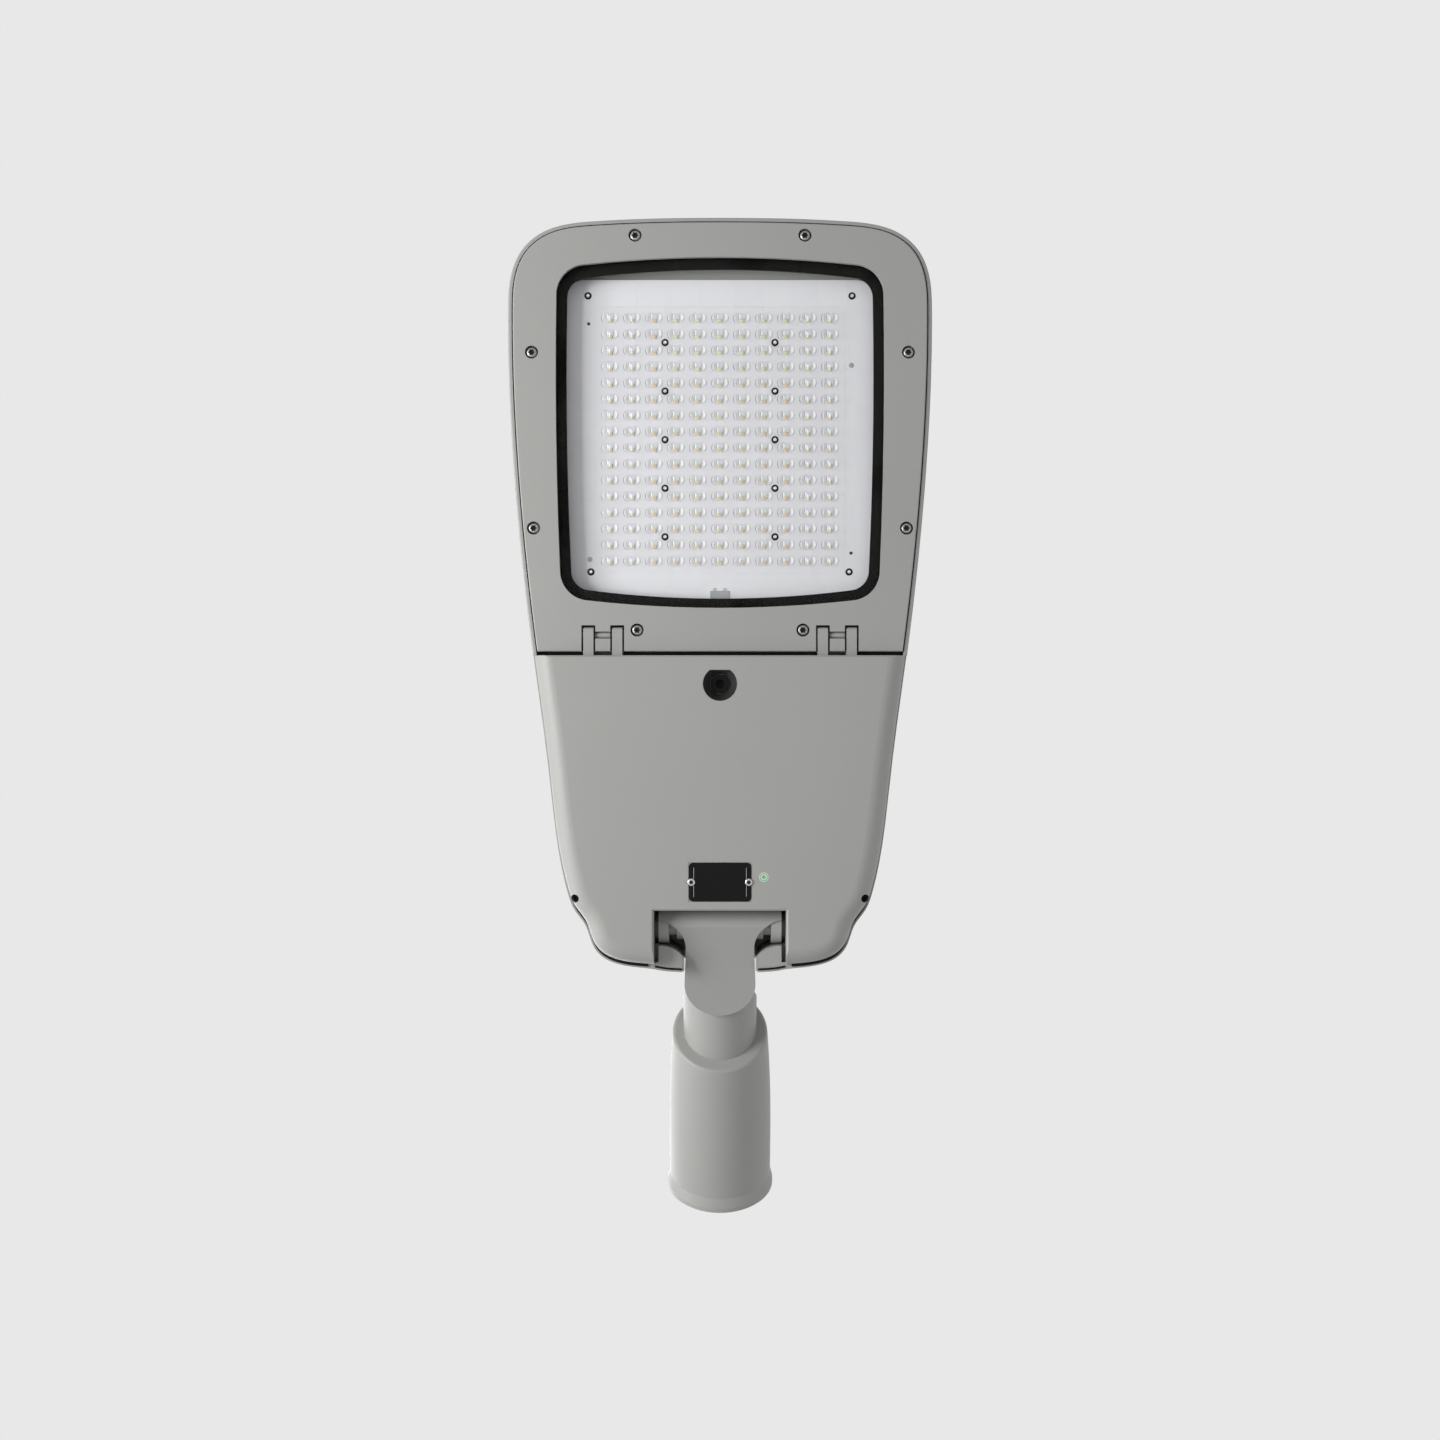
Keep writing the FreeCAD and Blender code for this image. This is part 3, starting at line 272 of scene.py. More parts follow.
@dataclass(frozen=True)
class Grained:
    """A surface with a fine grain and slow drifts of tone."""

    name: str
    colour: Colour
    roughness: float
    gloss: float = 0.5
    metallic: float = 0.0
    grain: Noise = (1400.0, 2.0)
    grain_tone: float = 0.06
    grain_rough: float = 0.12
    height: float = 0.00002
    drift: Noise = (45.0, 2.0)
    drift_tone: float = 0.12
    drift_rough: float = 0.0

    def relief(self, surface: Surface, grain: Signal) -> Signal:
        """The height of the surface."""
        return grain

    def make(self) -> Material:
        """Builds the finish.

        Returns:
            Its material.
        """
        surface = Surface(self.name)
        grain, drift = surface.noise(*self.grain), surface.noise(*self.drift)
        tone = 1.0 + grain.swing(self.grain_tone) + drift.swing(self.drift_tone)
        return surface.finish({
            "Base Color": surface.tinted(self.colour, tone),
            "Metallic": self.metallic,
            "Roughness": self.roughness + drift.swing(self.drift_rough) + grain.swing(self.grain_rough),
            "Specular IOR Level": self.gloss,
            "Normal": surface.bump(self.relief(surface, grain), self.height),
        })


@dataclass(frozen=True)
class Plastic(Grained):
    """Moulded plastic, lacquer or phosphor, with the plain grain."""


@dataclass(frozen=True)
class PowderCoat(Grained):
    """Matte powder coat on a casting: fine orange peel, a speckle and slow drifts of tone."""

    gloss: float = 0.42
    grain: Noise = (2600.0, 1.0)
    grain_tone: float = 0.1
    grain_rough: float = 0.1
    height: float = 0.00005
    drift: Noise = (9.0, 3.0)
    drift_tone: float = 0.07
    drift_rough: float = 0.12
    peel: Noise = (620.0, 2.0)
    speckle: float = 0.35

    def relief(self, surface: Surface, grain: Signal) -> Signal:
        """The height of the peel with the speckle on it."""
        return surface.noise(*self.peel) + self.speckle * grain


@dataclass(frozen=True)
class Rubber(Grained):
    """Extruded rubber: a fine grain, a faint bloom and a soft sheen."""

    gloss: float = 0.1
    grain: Noise = (1800.0, 3.0)
    grain_tone: float = 0.0
    grain_rough: float = 0.0
    height: float = 0.00003
    drift: Noise = (30.0, 2.0)
    drift_tone: float = 0.4
    drift_rough: float = 0.14


@dataclass(frozen=True)
class Metal(Grained):
    """Bare or blackened metal with fine turning or rolling marks and slight stains."""

    metallic: float = 1.0
    grain: Noise = (900.0, 3.0, 0.65)
    grain_tone: float = 0.0
    grain_rough: float = 0.25
    drift: Noise = (70.0, 3.0)
    drift_tone: float = 0.2


@dataclass(frozen=True)
class ClearMoulding:
    """Clear moulded plastic of the lens plate: a faint milky body with a gloss on its curves."""

    name: str
    face_on: float
    grazing: float
    colour: Colour = (0.9, 0.9, 0.92)
    metallic: float = 0.0
    roughness: float = 0.08
    flow: Noise = (90.0, 2.0)
    flow_rough: float = 0.06
    flow_height: float = 0.00003

    def make(self) -> Material:
        """Builds the finish.

        Returns:
            Its material.
        """
        surface = Surface(self.name)
        flow = surface.noise(*self.flow)
        sockets = {
            "Base Color": self.colour,
            "Metallic": self.metallic,
            "Roughness": self.roughness + self.flow_rough * flow,
            "Alpha": self.face_on + self.grazing * surface.grazing(),
        }
        if self.flow_height:
            sockets["Normal"] = surface.bump(flow, self.flow_height)
        return surface.finish(sockets)


@dataclass(frozen=True)
class ClearPane(ClearMoulding):
    """Toughened glass: what is behind it shows through, under a thin mirror that grows at a low angle."""

    colour: Colour = (0.86, 0.9, 0.89)
    metallic: float = 1.0
    roughness: float = 0.02
    flow: Noise = (14.0, 3.0)
    flow_rough: float = 0.02
    flow_height: float = 0.0


@dataclass(frozen=True)
class SolderMask:
    """White lacquer of the LED board, with faint copper areas under it."""

    name: str = "white_solder_mask"
    colour: Colour = (0.79, 0.795, 0.82)
    shadow: Colour = (0.765, 0.77, 0.795)
    roughness: float = 0.38
    area_scale: float = 46.0
    area_wander: float = 0.35
    area_edge: Point = (0.42, 0.47)
    area_tone: float = 0.5
    grain: Noise = (1500.0, 2.0)
    grain_tone: float = 0.3
    grain_rough: float = 0.1
    grain_height: float = 0.2
    step: float = 0.00003

    def make(self) -> Material:
        """Builds the finish.

        Returns:
            Its material.
        """
        surface = Surface(self.name)
        sockets = {"Vector": surface.place(), "Scale": self.area_scale, "Randomness": self.area_wander}
        settings = {"distance": "CHEBYCHEV", "feature": "F1"}
        cells = surface.signal("ShaderNodeTexVoronoi", "Distance", sockets, settings)
        copper = cells.above(*self.area_edge)
        grain = surface.noise(*self.grain)
        shade = self.area_tone * copper + self.grain_tone * grain
        return surface.finish({
            "Base Color": surface.blended(shade, self.colour, self.shadow),
            "Roughness": self.roughness + self.grain_rough * grain,
            "Normal": surface.bump(copper + self.grain_height * grain, self.step),
        })


@dataclass(frozen=True)
class Galvanised:
    """Zinc-coated sheet with its spangle."""

    name: str = "galvanised_sheet"
    bright: Colour = (0.56, 0.57, 0.58)
    dull: Colour = (0.4, 0.41, 0.42)
    metallic: float = 0.9
    roughness: float = 0.3
    spangle_scale: float = 130.0
    spangle_rough: float = 0.25
    grain: Noise = (800.0, 2.0)
    grain_rough: float = 0.1
    grain_height: float = 0.00001

    def make(self) -> Material:
        """Builds the finish.

        Returns:
            Its material.
        """
        surface = Surface(self.name)
        sockets = {"Vector": surface.place(), "Scale": self.spangle_scale}
        spangle = surface.signal("ShaderNodeTexVoronoi", "Distance", sockets)
        grain = surface.noise(*self.grain)
        return surface.finish({
            "Base Color": surface.blended(spangle, self.bright, self.dull),
            "Metallic": self.metallic,
            "Roughness": self.roughness + self.spangle_rough * spangle + self.grain_rough * grain,
            "Normal": surface.bump(grain, self.grain_height),
        })


class Finishes:
    """Every finish of the head, each built once."""

    def __init__(self) -> None:
        """Builds the materials."""
        self.paint = PowderCoat("grey_powder_coat", (0.335, 0.34, 0.325), 0.47).make()
        self.rubber = Rubber("black_rubber", (0.007, 0.007, 0.0065), 0.42).make()
        self.pane = ClearPane("toughened_glass", 0.002, 0.6).make()
        self.dome = ClearMoulding("clear_lens", 0.05, 0.3).make()
        self.sheet = ClearMoulding("clear_plate", 0.012, 0.12).make()
        self.board = SolderMask().make()
        self.steel = Metal("stainless_steel", (0.56, 0.56, 0.55), 0.3).make()
        self.bright_steel = Metal("bright_steel", (0.82, 0.82, 0.81), 0.34).make()
        self.dull_steel = Metal("dull_steel", (0.36, 0.36, 0.355), 0.42, drift_tone=0.5).make()
        # Blackened screws, made near-black and dull as painted shade of the deep holes they sit in.
        self.black_oxide_and_hole_shade = Plastic("black_oxide_and_hole_shade", (0.007, 0.007, 0.007), 0.6, gloss=0.1).make()
        self.dark_steel = Metal("blackened_steel", (0.05, 0.05, 0.05), 0.45, metallic=0.85).make()
        case_marks = (350.0, 3.0, 0.65)
        self.case = Metal("aluminium_case", (0.62, 0.63, 0.64), 0.36, grain=case_marks, height=0.00003).make()
        self.zinc = Galvanised().make()
        self.lacquer = Plastic("black_lacquer", (0.006, 0.006, 0.006), 0.34, gloss=0.12).make()
        # Painted shade: a near-black grey standing for the unlit inside of the latch recess.
        self.recess = Plastic("painted_recess_shade", (0.025, 0.025, 0.024), 0.6, gloss=0.2).make()
        self.pale_line = Plastic("pale_print", (0.42, 0.42, 0.42), 0.5).make()
        self.phosphor = Plastic("amber_phosphor", (1.0, 0.7, 0.26), 0.55).make()
        self.pale_phosphor = Plastic("yellow_phosphor", (0.9, 0.92, 0.28), 0.55).make()
        # Painted highlight for the lenses' white crescents, and painted shade for their dark lines.
        self.painted_highlight = Plastic("painted_highlight_flank", WHITE, 0.3).make()
        self.painted_shade_line = Plastic("shaded_flank", (0.27, 0.27, 0.29), 0.35).make()
        self.package = Plastic("white_package", (0.74, 0.74, 0.72), 0.4).make()
        self.nylon = Plastic("black_nylon", (0.012, 0.012, 0.012), 0.45, gloss=0.2).make()
        self.ivory = Plastic("off_white_nylon", (0.64, 0.63, 0.58), 0.42).make()
        self.grey_nylon = Plastic("grey_nylon", (0.37, 0.38, 0.39), 0.4).make()
        self.sticker_rim = Plastic("sticker_rim", (0.62, 0.68, 0.6), 0.5).make()
        self.sticker_green = Plastic("sticker_green", (0.16, 0.42, 0.2), 0.5).make()


# Mesh building


def placed(name: str, data: bpy.types.ID) -> Piece:
    """A new object in the scene.

    Args:
        name: Its name.
        data: Its mesh, lamp or camera.

    Returns:
        The new object.
    """
    made = bpy.data.objects.new(name, data)
    bpy.context.scene.collection.objects.link(made)
    return made


def regular_ring(
    radius: float, sides: int, z: float, outline: Optional[Callable[[float], float]] = None
) -> Ring:
    """A ring of points about the Z axis.

    Args:
        radius: The radius, or the scale of the outline.
        sides: How many points.
        z: The height.
        outline: A share of the radius for each angle, if the ring isn't round.

    Returns:
        The ring's points, anticlockwise seen from above.
    """
    turns = [math.tau * i / sides for i in range(sides)]
    reach = [radius * (outline(turn) if outline else 1.0) for turn in turns]
    return [Vector((r * math.cos(t), r * math.sin(t), z)) for r, t in zip(reach, turns)]


def panel_ring(half_x: float, half_y: float, corner: float, z: float, steps: int = 6) -> Ring:
    """A rectangle with round corners, as a ring of points.

    Args:
        half_x: Half its width.
        half_y: Half its length.
        corner: The corners' radius.
        z: The height.
        steps: Segments in each corner.

    Returns:
        The ring's points, anticlockwise seen from above.
    """
    ring = []
    for quarter, (sign_x, sign_y) in enumerate([(1, 1), (-1, 1), (-1, -1), (1, -1)]):
        centre = Vector((sign_x * (half_x - corner), sign_y * (half_y - corner), z))
        for step in range(steps + 1):
            turn = (quarter + step / steps) * math.pi / 2
            ring.append(centre + Vector((corner * math.cos(turn), corner * math.sin(turn), 0)))
    return ring


def bevelled(half: Point, corner: float, high: float, low: float, bevel: float) -> list[Ring]:
    """A panel with a bevel around its lower face.

    Args:
        half: Half its width and half its length.
        corner: The corners' radius.
        high: Its upper height.
        low: Its lower height.
        bevel: The bevel's width and height.

    Returns:
        Its rings from the upper to the lower face.
    """
    x, y = half
    straight = [panel_ring(x, y, corner, z) for z in (high, low + bevel)]
    return straight + [panel_ring(x - bevel, y - bevel, corner - bevel, low)]


def mirrored(places: Sequence[Point]) -> list[Point]:
    """Each place on both sides of the head's middle."""
    return [(side * x, y) for x, y in places for side in SIDES]


class Shape:
    """A mesh under construction, made of stacks of rings."""

    def __init__(self) -> None:
        """Starts an empty mesh."""
        self.mesh = bmesh.new()

    def stack(
        self,
        rings: Sequence[Ring],
        at: Vector,
        material: int = 0,
        steps: Sequence[int] = (),
        ends: Ends = Ends.CAPPED,
    ) -> None:
        """Joins rings of equal length into one skin.

        Args:
            rings: The rings from one end to the other.
            at: Where the stack's own origin goes.
            material: The number of the material of its faces.
            steps: A material number for each band of faces, where they differ, and last the end cap's.
            ends: Whether the ends are capped, the first is left open, or the last ring joins the first.
        """
        rows = [[self.mesh.verts.new(point + at) for point in ring] for ring in rings]
        if ends is Ends.JOINED:
            rows.append(rows[0])
        count = len(rows[0])
        made = []
        for band, (low, high) in enumerate(zip(rows, rows[1:])):
            for i in range(count):
                face = self.mesh.faces.new((low[i], low[(i + 1) % count], high[(i + 1) % count], high[i]))
                face.material_index = steps[band] if steps else material
                made.append(face)
        if ends is Ends.CAPPED:
            made.append(self.mesh.faces.new(list(reversed(rows[0]))))
            made[-1].material_index = steps[0] if steps else material
        if ends is not Ends.JOINED:
            made.append(self.mesh.faces.new(rows[-1]))
            made[-1].material_index = steps[-1] if steps else material
        bmesh.ops.recalc_face_normals(self.mesh, faces=made)

    def channel(self, lines: Sequence[Ring]) -> None:
        """Joins open lines of points of equal length into one closed bar, the last line to the first.

        Args:
            lines: The bar's edges, each from its start to its end.
        """
        rows = [[self.mesh.verts.new(point) for point in line] for line in lines]
        made = []
        for near, far in zip(rows, rows[1:] + rows[:1]):
            for i in range(len(near) - 1):
                made.append(self.mesh.faces.new((near[i], near[i + 1], far[i + 1], far[i])))
        made.append(self.mesh.faces.new([row[0] for row in rows]))
        made.append(self.mesh.faces.new([row[-1] for row in reversed(rows)]))
        bmesh.ops.recalc_face_normals(self.mesh, faces=made)

    def piece(
        self,
        name: str,
        body: Body,
        slot: Slot,
        materials: Sequence[Material],
        smooth_below: float = 38.0,
    ) -> Piece:
        """Ends the mesh and makes it a piece on a body.

        Args:
            name: The piece's name.
            body: The body that it rides on.
            slot: Not used.
            materials: Its materials in the order of their numbers.
            smooth_below: Edges with a smaller angle than this, in degrees, are shaded smooth.

        Returns:
            The new object.
        """
        data = bpy.data.meshes.new(name)
        self.mesh.to_mesh(data)
        self.mesh.free()
        for material in materials:
            data.materials.append(material)
        data.polygons.foreach_set("use_smooth", [True] * len(data.polygons))
        data.set_sharp_from_angle(angle=math.radians(smooth_below))
        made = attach(placed(name, data), body.value)
        return made


@dataclass
class HeadPlace:
    """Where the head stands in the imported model's frame."""

    pivot_y: float
    face_z: float

    def at(self, x: float, y: float, z: float) -> Vector:
        """A point from the tilt pivot along Y and from the lens frame's outer face along Z."""
        return Vector((x, self.pivot_y + y, self.face_z + z))


# Sub-assemblies


@dataclass
class Castings:
    """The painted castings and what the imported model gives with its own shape."""

    finishes: Finishes

    def dress(self, nodes: dict[str, Piece]) -> None:
        """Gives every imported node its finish.

        Args:
            nodes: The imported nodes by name.
        """
        finish = self.finishes
        groups = (
            (finish.paint, "housing lens_frame gear_cover arm hinge_pins"),
            (finish.rubber, "window_gasket frame_seal cover_seal lead_grommet"),
            (finish.pane, "glass_pane"),
            (finish.board, "led_board"),
            (finish.phosphor, "led_chips"),
            (finish.sheet, "lens_plate"),
            (finish.black_oxide_and_hole_shade, "lock_screw cover_screws"),
            (finish.lacquer, "rating_plate"),
            (finish.zinc, "gear_tray"),
            (finish.case, "led_driver"),
            (finish.ivory, "terminal_block"),
            (finish.nylon, "surge_protector cable_gland"),
            (finish.dark_steel, "friction_discs"),
            (finish.steel, "frame_screws board_screws plate_rivets tray_screws driver_screws clamp_screws"),
            (finish.steel, "pivot_bolt pivot_nut pivot_washers"),
        )
        chosen = {name: material for material, names in groups for name in names.split()}
        for name, node in nodes.items():
            node.data.materials.clear()
            node.data.materials.append(chosen[name])
            LOG.info("%s has its finish", name)


@dataclass(frozen=True)
class ScrewSize:
    """A screw's head, its washer and the part of its shank that is drawn."""

    radius: float
    height: float
    shank: float
    length: float
    washer: float
    washer_height: float


@dataclass(frozen=True)
class Screws:
    """Round-headed screws with a six-lobed socket, drawn as shares of a screw's sizes."""

    sides: int = 36
    lobe_count: int = 6
    lobe: float = 0.16
    socket_share: float = 0.52
    socket_depth: float = 0.55
    socket_rim: float = 0.06
    socket_floor: float = 0.94
    socket_point: Point = (0.12, 1.25)
    washer: Points = ((1.0, 0.0), (1.0, -0.8), (0.94, -1.0))
    head: Points = ((1.0, 0.0), (1.0, -0.35), (0.95, -0.62), (0.84, -0.84), (0.72, -0.95))

    def lobes(self, turn: float) -> float:
        """The socket's outline as a share of its radius."""
        return 1.0 + self.lobe * math.cos(self.lobe_count * turn)

    def shape(self, places: Sequence[Vector], size: ScrewSize) -> Shape:
        """Screws that point up, each on its washer. Their materials are the head, washer and socket.

        Args:
            places: The centres of the seats under the washers.
            size: The screws' sizes.

        Returns:
            Their mesh.
        """
        radius, height, drop = size.radius, size.height, size.washer_height
        washer = [regular_ring(share * size.washer, self.sides, z * drop) for share, z in self.washer]
        socket, depth = radius * self.socket_share, self.socket_depth * height
        inner = socket * (1 + self.lobe) + self.socket_rim * radius
        point, bottom = self.socket_point
        screw = [regular_ring(size.shank, self.sides, z) for z in (size.length, 0)]
        screw += [regular_ring(share * radius, self.sides, z * height) for share, z in self.head]
        screw += [
            regular_ring(inner, self.sides, -height),
            regular_ring(socket, self.sides, -height, self.lobes),
            regular_ring(self.socket_floor * socket, self.sides, -height + depth, self.lobes),
            regular_ring(point * socket, self.sides, -height + bottom * depth),
        ]
        steps = [0] * (len(screw) - 3) + 3 * [2]
        shape = Shape()
        for at in places:
            shape.stack(washer, at, 1)
            shape.stack(screw, at - Vector((0, 0, drop)), steps=steps)
        return shape


@dataclass
class SubAssembly:
    """A part of the head with its own pieces."""

    place: HeadPlace
    finishes: Finishes


@dataclass(frozen=True)
class LensRib:
    """One curved line or crescent on a lens, from the lens's centre; finish 0 is a painted highlight and
    finish 1 a painted shade line.
    """

    x: float
    y: float
    reach: float
    width: float
    bow: float
    finish: int


@dataclass
class LightEngine(SubAssembly):
    """The lens plate with its domes, the light sources and the board's screws and small parts."""

    screws: Screws = Screws()
    columns: int = 11
    rows: int = 16
    pitch_x: float = 0.0156
    pitch_y: float = 0.01148
    centre_y: float = 0.3451
    board_face: float = 0.0182
    sheet_low: float = 0.0152
    sheet_top: float = 0.01815
    margin: float = 0.0045
    sheet_bevel: float = 0.0004
    sheet_corner: float = 0.004
    dome_reach: float = 0.0062
    dome_radius: float = 0.0039
    dome_height: float = 0.0036
    dome_rings: int = 7
    dome_sides: int = 28
    dome_point: float = 0.02
    dome_gap: float = 0.00012
    screw: ScrewSize = ScrewSize(0.0013, 0.0013, 0.001, 0.0006, 0.0026, 0.0006)
    sunk: float = 0.0002
    rib_steps: int = 8
    rib_lift: float = 0.00008
    rib_point: float = 0.02
    # Lens marks: finish 0 is a painted highlight, finish 1 a painted shade line.
    ribs: tuple[LensRib, ...] = (
        LensRib(0.0052, 0.0, 0.003, 0.00045, 0.0007, 1),
        LensRib(0.0045, 0.0, 0.0028, 0.0006, 0.0006, 0),
        LensRib(0.0029, 0.0003, 0.0022, 0.00026, -0.0004, 1),
        LensRib(0.0019, 0.0006, 0.0018, 0.001, -0.0003, 0),
        LensRib(-0.0021, -0.0001, 0.0024, 0.0003, -0.0005, 1),
        LensRib(-0.0038, 0.0004, 0.0026, 0.0017, -0.0007, 0),
        LensRib(-0.0053, 0.0, 0.0026, 0.00032, -0.0005, 1),
    )
    outer_rib: LensRib = LensRib(0.0004, -0.0006, 0.002, 0.0013, 0.0, 0)
    outer_columns: float = 0.055
    chip_half: float = 0.0015
    chip_height: float = 0.0007
    chip_corner: float = 0.0003
    chip_offset: Point = (0.0004, -0.0009)
    glow_oval: Point = (0.00085, 0.0013)
    glow_sides: int = 16
    glow_rings: Points = ((1.0, 0.0002), (1.0, -0.00008), (0.6, -0.0002))
    amber_rows: int = 12
    amber_columns: int = 7
    corner_screws: Points = ((0.0939, 0.4479), (0.0918, 0.2516))
    inner_rows: tuple[int, ...] = (-2, -1, 0, 1, 2)
    inner_pitches: Point = (2.5, 3.0)
    test_pads: Points = ((-0.0934, 0.3986), (0.0925, 0.2605))
    pin_holes: Points = ((0.0934, 0.4281), (-0.0932, 0.2650))
    pad_sides: int = 24
    pad_rings: Points = ((0.0019, 0.0002), (0.0018, -0.00012), (0.0009, -0.0004))
    hole_sides: int = 20
    hole_rings: Points = ((0.0012, 0.0002), (0.0011, -0.00018))
    connector_y: float = 0.2345
    connector_half: Point = (0.0072, 0.0034)
    connector_height: float = 0.0042
    connector_top: Point = (0.93, 0.86)
    connector_straight: float = 0.8
    connector_corners: Point = (0.0008, 0.0006)
    foot: tuple[float, float, float] = (0.0014, 0.0012, 0.0003)
    foot_across: float = 0.5
    foot_gap: float = 0.0011
    foot_height: float = 0.0003

    def lens_places(self) -> list[Point]:
        """The centres of the lenses, row by row.

        Returns:
            The places in pairs of X and Y.
        """
        first_x = -(self.columns - 1) / 2 * self.pitch_x
        first_y = self.centre_y - (self.rows - 1) / 2 * self.pitch_y
        columns = [first_x + c * self.pitch_x for c in range(self.columns)]
        return [(x, first_y + r * self.pitch_y) for r in range(self.rows) for x in columns]

    def inner_screws(self) -> list[Point]:
        """The places of the screws between the lenses."""
        reach, step = self.inner_pitches[0] * self.pitch_x, self.inner_pitches[1] * self.pitch_y
        return mirrored([(reach, self.centre_y + row * step) for row in self.inner_rows])

    def dome_depth(self, x: float, y: float) -> float:
        """How far a dome stands out at a point.

        Args:
            x: The point's place across the dome, from its centre.
            y: The point's place along it.

        Returns:
            A share of the dome's height.
        """
        apart = self.dome_reach - self.dome_radius
        near = min(math.hypot(x - apart, y), math.hypot(x + apart, y))
        return math.sqrt(max(0.0, 1.0 - (near / self.dome_radius) ** 2))

    def dome_edge(self, turn: float) -> float:
        """The outline of a dome, two round lobes side by side.

        Args:
            turn: The angle about the dome's centre.

        Returns:
            The outline's radius there.
        """
        apart = self.dome_reach - self.dome_radius
        along = apart * abs(math.cos(turn))
        return along + math.sqrt(max(0.0, self.dome_radius**2 - (apart * math.sin(turn)) ** 2))

    def build_domes(self) -> Piece:
        """The domes of all the lenses as one piece.

        Returns:
            The new piece.
        """
        shape = Shape()
        rings = []
        for step in range(self.dome_rings):
            share = math.cos(0.5 * math.pi * step / self.dome_rings)
            flat = regular_ring(share, self.dome_sides, 0, self.dome_edge)
            rings.append([Vector((p.x, p.y, -self.dome_height * self.dome_depth(p.x, p.y))) for p in flat])
        centre = self.dome_height * self.dome_depth(0, 0)
        rings.append(regular_ring(self.dome_point * self.dome_radius, self.dome_sides, -centre))
        for x, y in self.lens_places():
            shape.stack(rings, self.place.at(x, y, self.sheet_low - self.dome_gap), ends=Ends.OPEN_START)
        return shape.piece("lens_domes", Body.HEAD, Slot.LENS, [self.finishes.dome], smooth_below=50.0)

    def build_sheet(self) -> Piece:
        """The flat of the lens plate with its rim, open towards the board.

        Returns:
            The new piece.
        """
        half_x = (self.columns - 1) / 2 * self.pitch_x + self.dome_reach + self.margin
        half_y = (self.rows - 1) / 2 * self.pitch_y + self.dome_radius + self.margin
        heights = (self.sheet_top, self.sheet_low)
        rings = bevelled((half_x, half_y), self.sheet_corner, *heights, self.sheet_bevel)
        shape = Shape()
        shape.stack(rings, self.place.at(0, self.centre_y, 0), ends=Ends.OPEN_START)
        made = shape.piece("lens_sheet", Body.HEAD, Slot.LENS, [self.finishes.sheet])
        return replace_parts(made, "lens_plate")

    def rib(self, shape: Shape, at: Vector, rib: LensRib) -> None:
        """Adds one curved rib, level across its width, just inside a dome's surface.

        Args:
            shape: The mesh that it goes into.
            at: The dome's centre on the sheet.
            rib: The rib's place, size and curve.
        """
        rows = []
        for step in range(self.rib_steps + 1):
            share = 2 * step / self.rib_steps - 1
            y = rib.y + share * rib.reach
            middle = rib.x + rib.bow * (1 - share**2)
            half = 0.5 * rib.width * math.sqrt(max(self.rib_point, 1 - share**2))
            edges = (middle - half, middle + half)
            shallow = min(self.dome_depth(x, y) for x in edges)
            depth = self.rib_lift - self.dome_height * shallow
            rows.append([shape.mesh.verts.new(at + Vector((x, y, depth))) for x in edges])
        for (a, b), (c, d) in zip(rows, rows[1:]):
            face = shape.mesh.faces.new((a, c, d, b))
            face.material_index = rib.finish

    def build_ribs(self) -> Piece:
        """The painted highlights and painted shade lines that each lens shows.

        Returns:
            The new piece.
        """
        shape = Shape()
        for x, y in self.lens_places():
            at = self.place.at(x, y, self.sheet_low - self.dome_gap)
            outer = (self.outer_rib,) if abs(x) > self.outer_columns else ()
            for rib in self.ribs + outer:
                self.rib(shape, at, rib)
        highlight_and_shade = [self.finishes.painted_highlight, self.finishes.painted_shade_line]
        made = shape.piece("lens_painted_highlights_and_shade", Body.HEAD, Slot.LENS, highlight_and_shade)
        made.visible_shadow = False
        return made

    def build_chips(self) -> Piece:
        """The light sources: a white package with an oval of phosphor, amber or paler.

        Returns:
            The new piece.
        """
        shape = Shape()
        half, height = self.chip_half, self.chip_height
        base = [panel_ring(half, half, self.chip_corner, z, 2) for z in (self.sunk, -height)]
        flat = [regular_ring(share, self.glow_sides, z - height) for share, z in self.glow_rings]
        across, along = self.glow_oval
        glow = [[Vector((p.x * across, p.y * along, p.z)) for p in ring] for ring in flat]
        offset = Vector((*self.chip_offset, 0))
        for number, (x, y) in enumerate(self.lens_places()):
            at = self.place.at(x, y, self.board_face) + offset
            shape.stack(base, at)
            row, column = divmod(number, self.columns)
            amber = row < self.amber_rows or column > self.amber_columns
            shape.stack(glow, at, 1 if amber else 2)
        materials = [self.finishes.package, self.finishes.phosphor, self.finishes.pale_phosphor]
        made = shape.piece("light_sources", Body.HEAD, Slot.CHIP, materials)
        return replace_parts(made, "led_chips")

    def build_screws(self) -> Piece:
        """The board's screws, each on a dark washer.

        Returns:
            The new piece.
        """
        places = [self.place.at(x, y, self.board_face) for x, y in mirrored(self.corner_screws)]
        places += [self.place.at(x, y, self.sheet_low) for x, y in self.inner_screws()]
        bright, dark = self.finishes.bright_steel, self.finishes.nylon
        materials = [bright, dark, bright]
        shape = self.screws.shape(places, self.screw)
        made = shape.piece("board_screw_heads", Body.HEAD, Slot.SCREW, materials)
        made.visible_shadow = False
        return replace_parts(made, "board_screws")

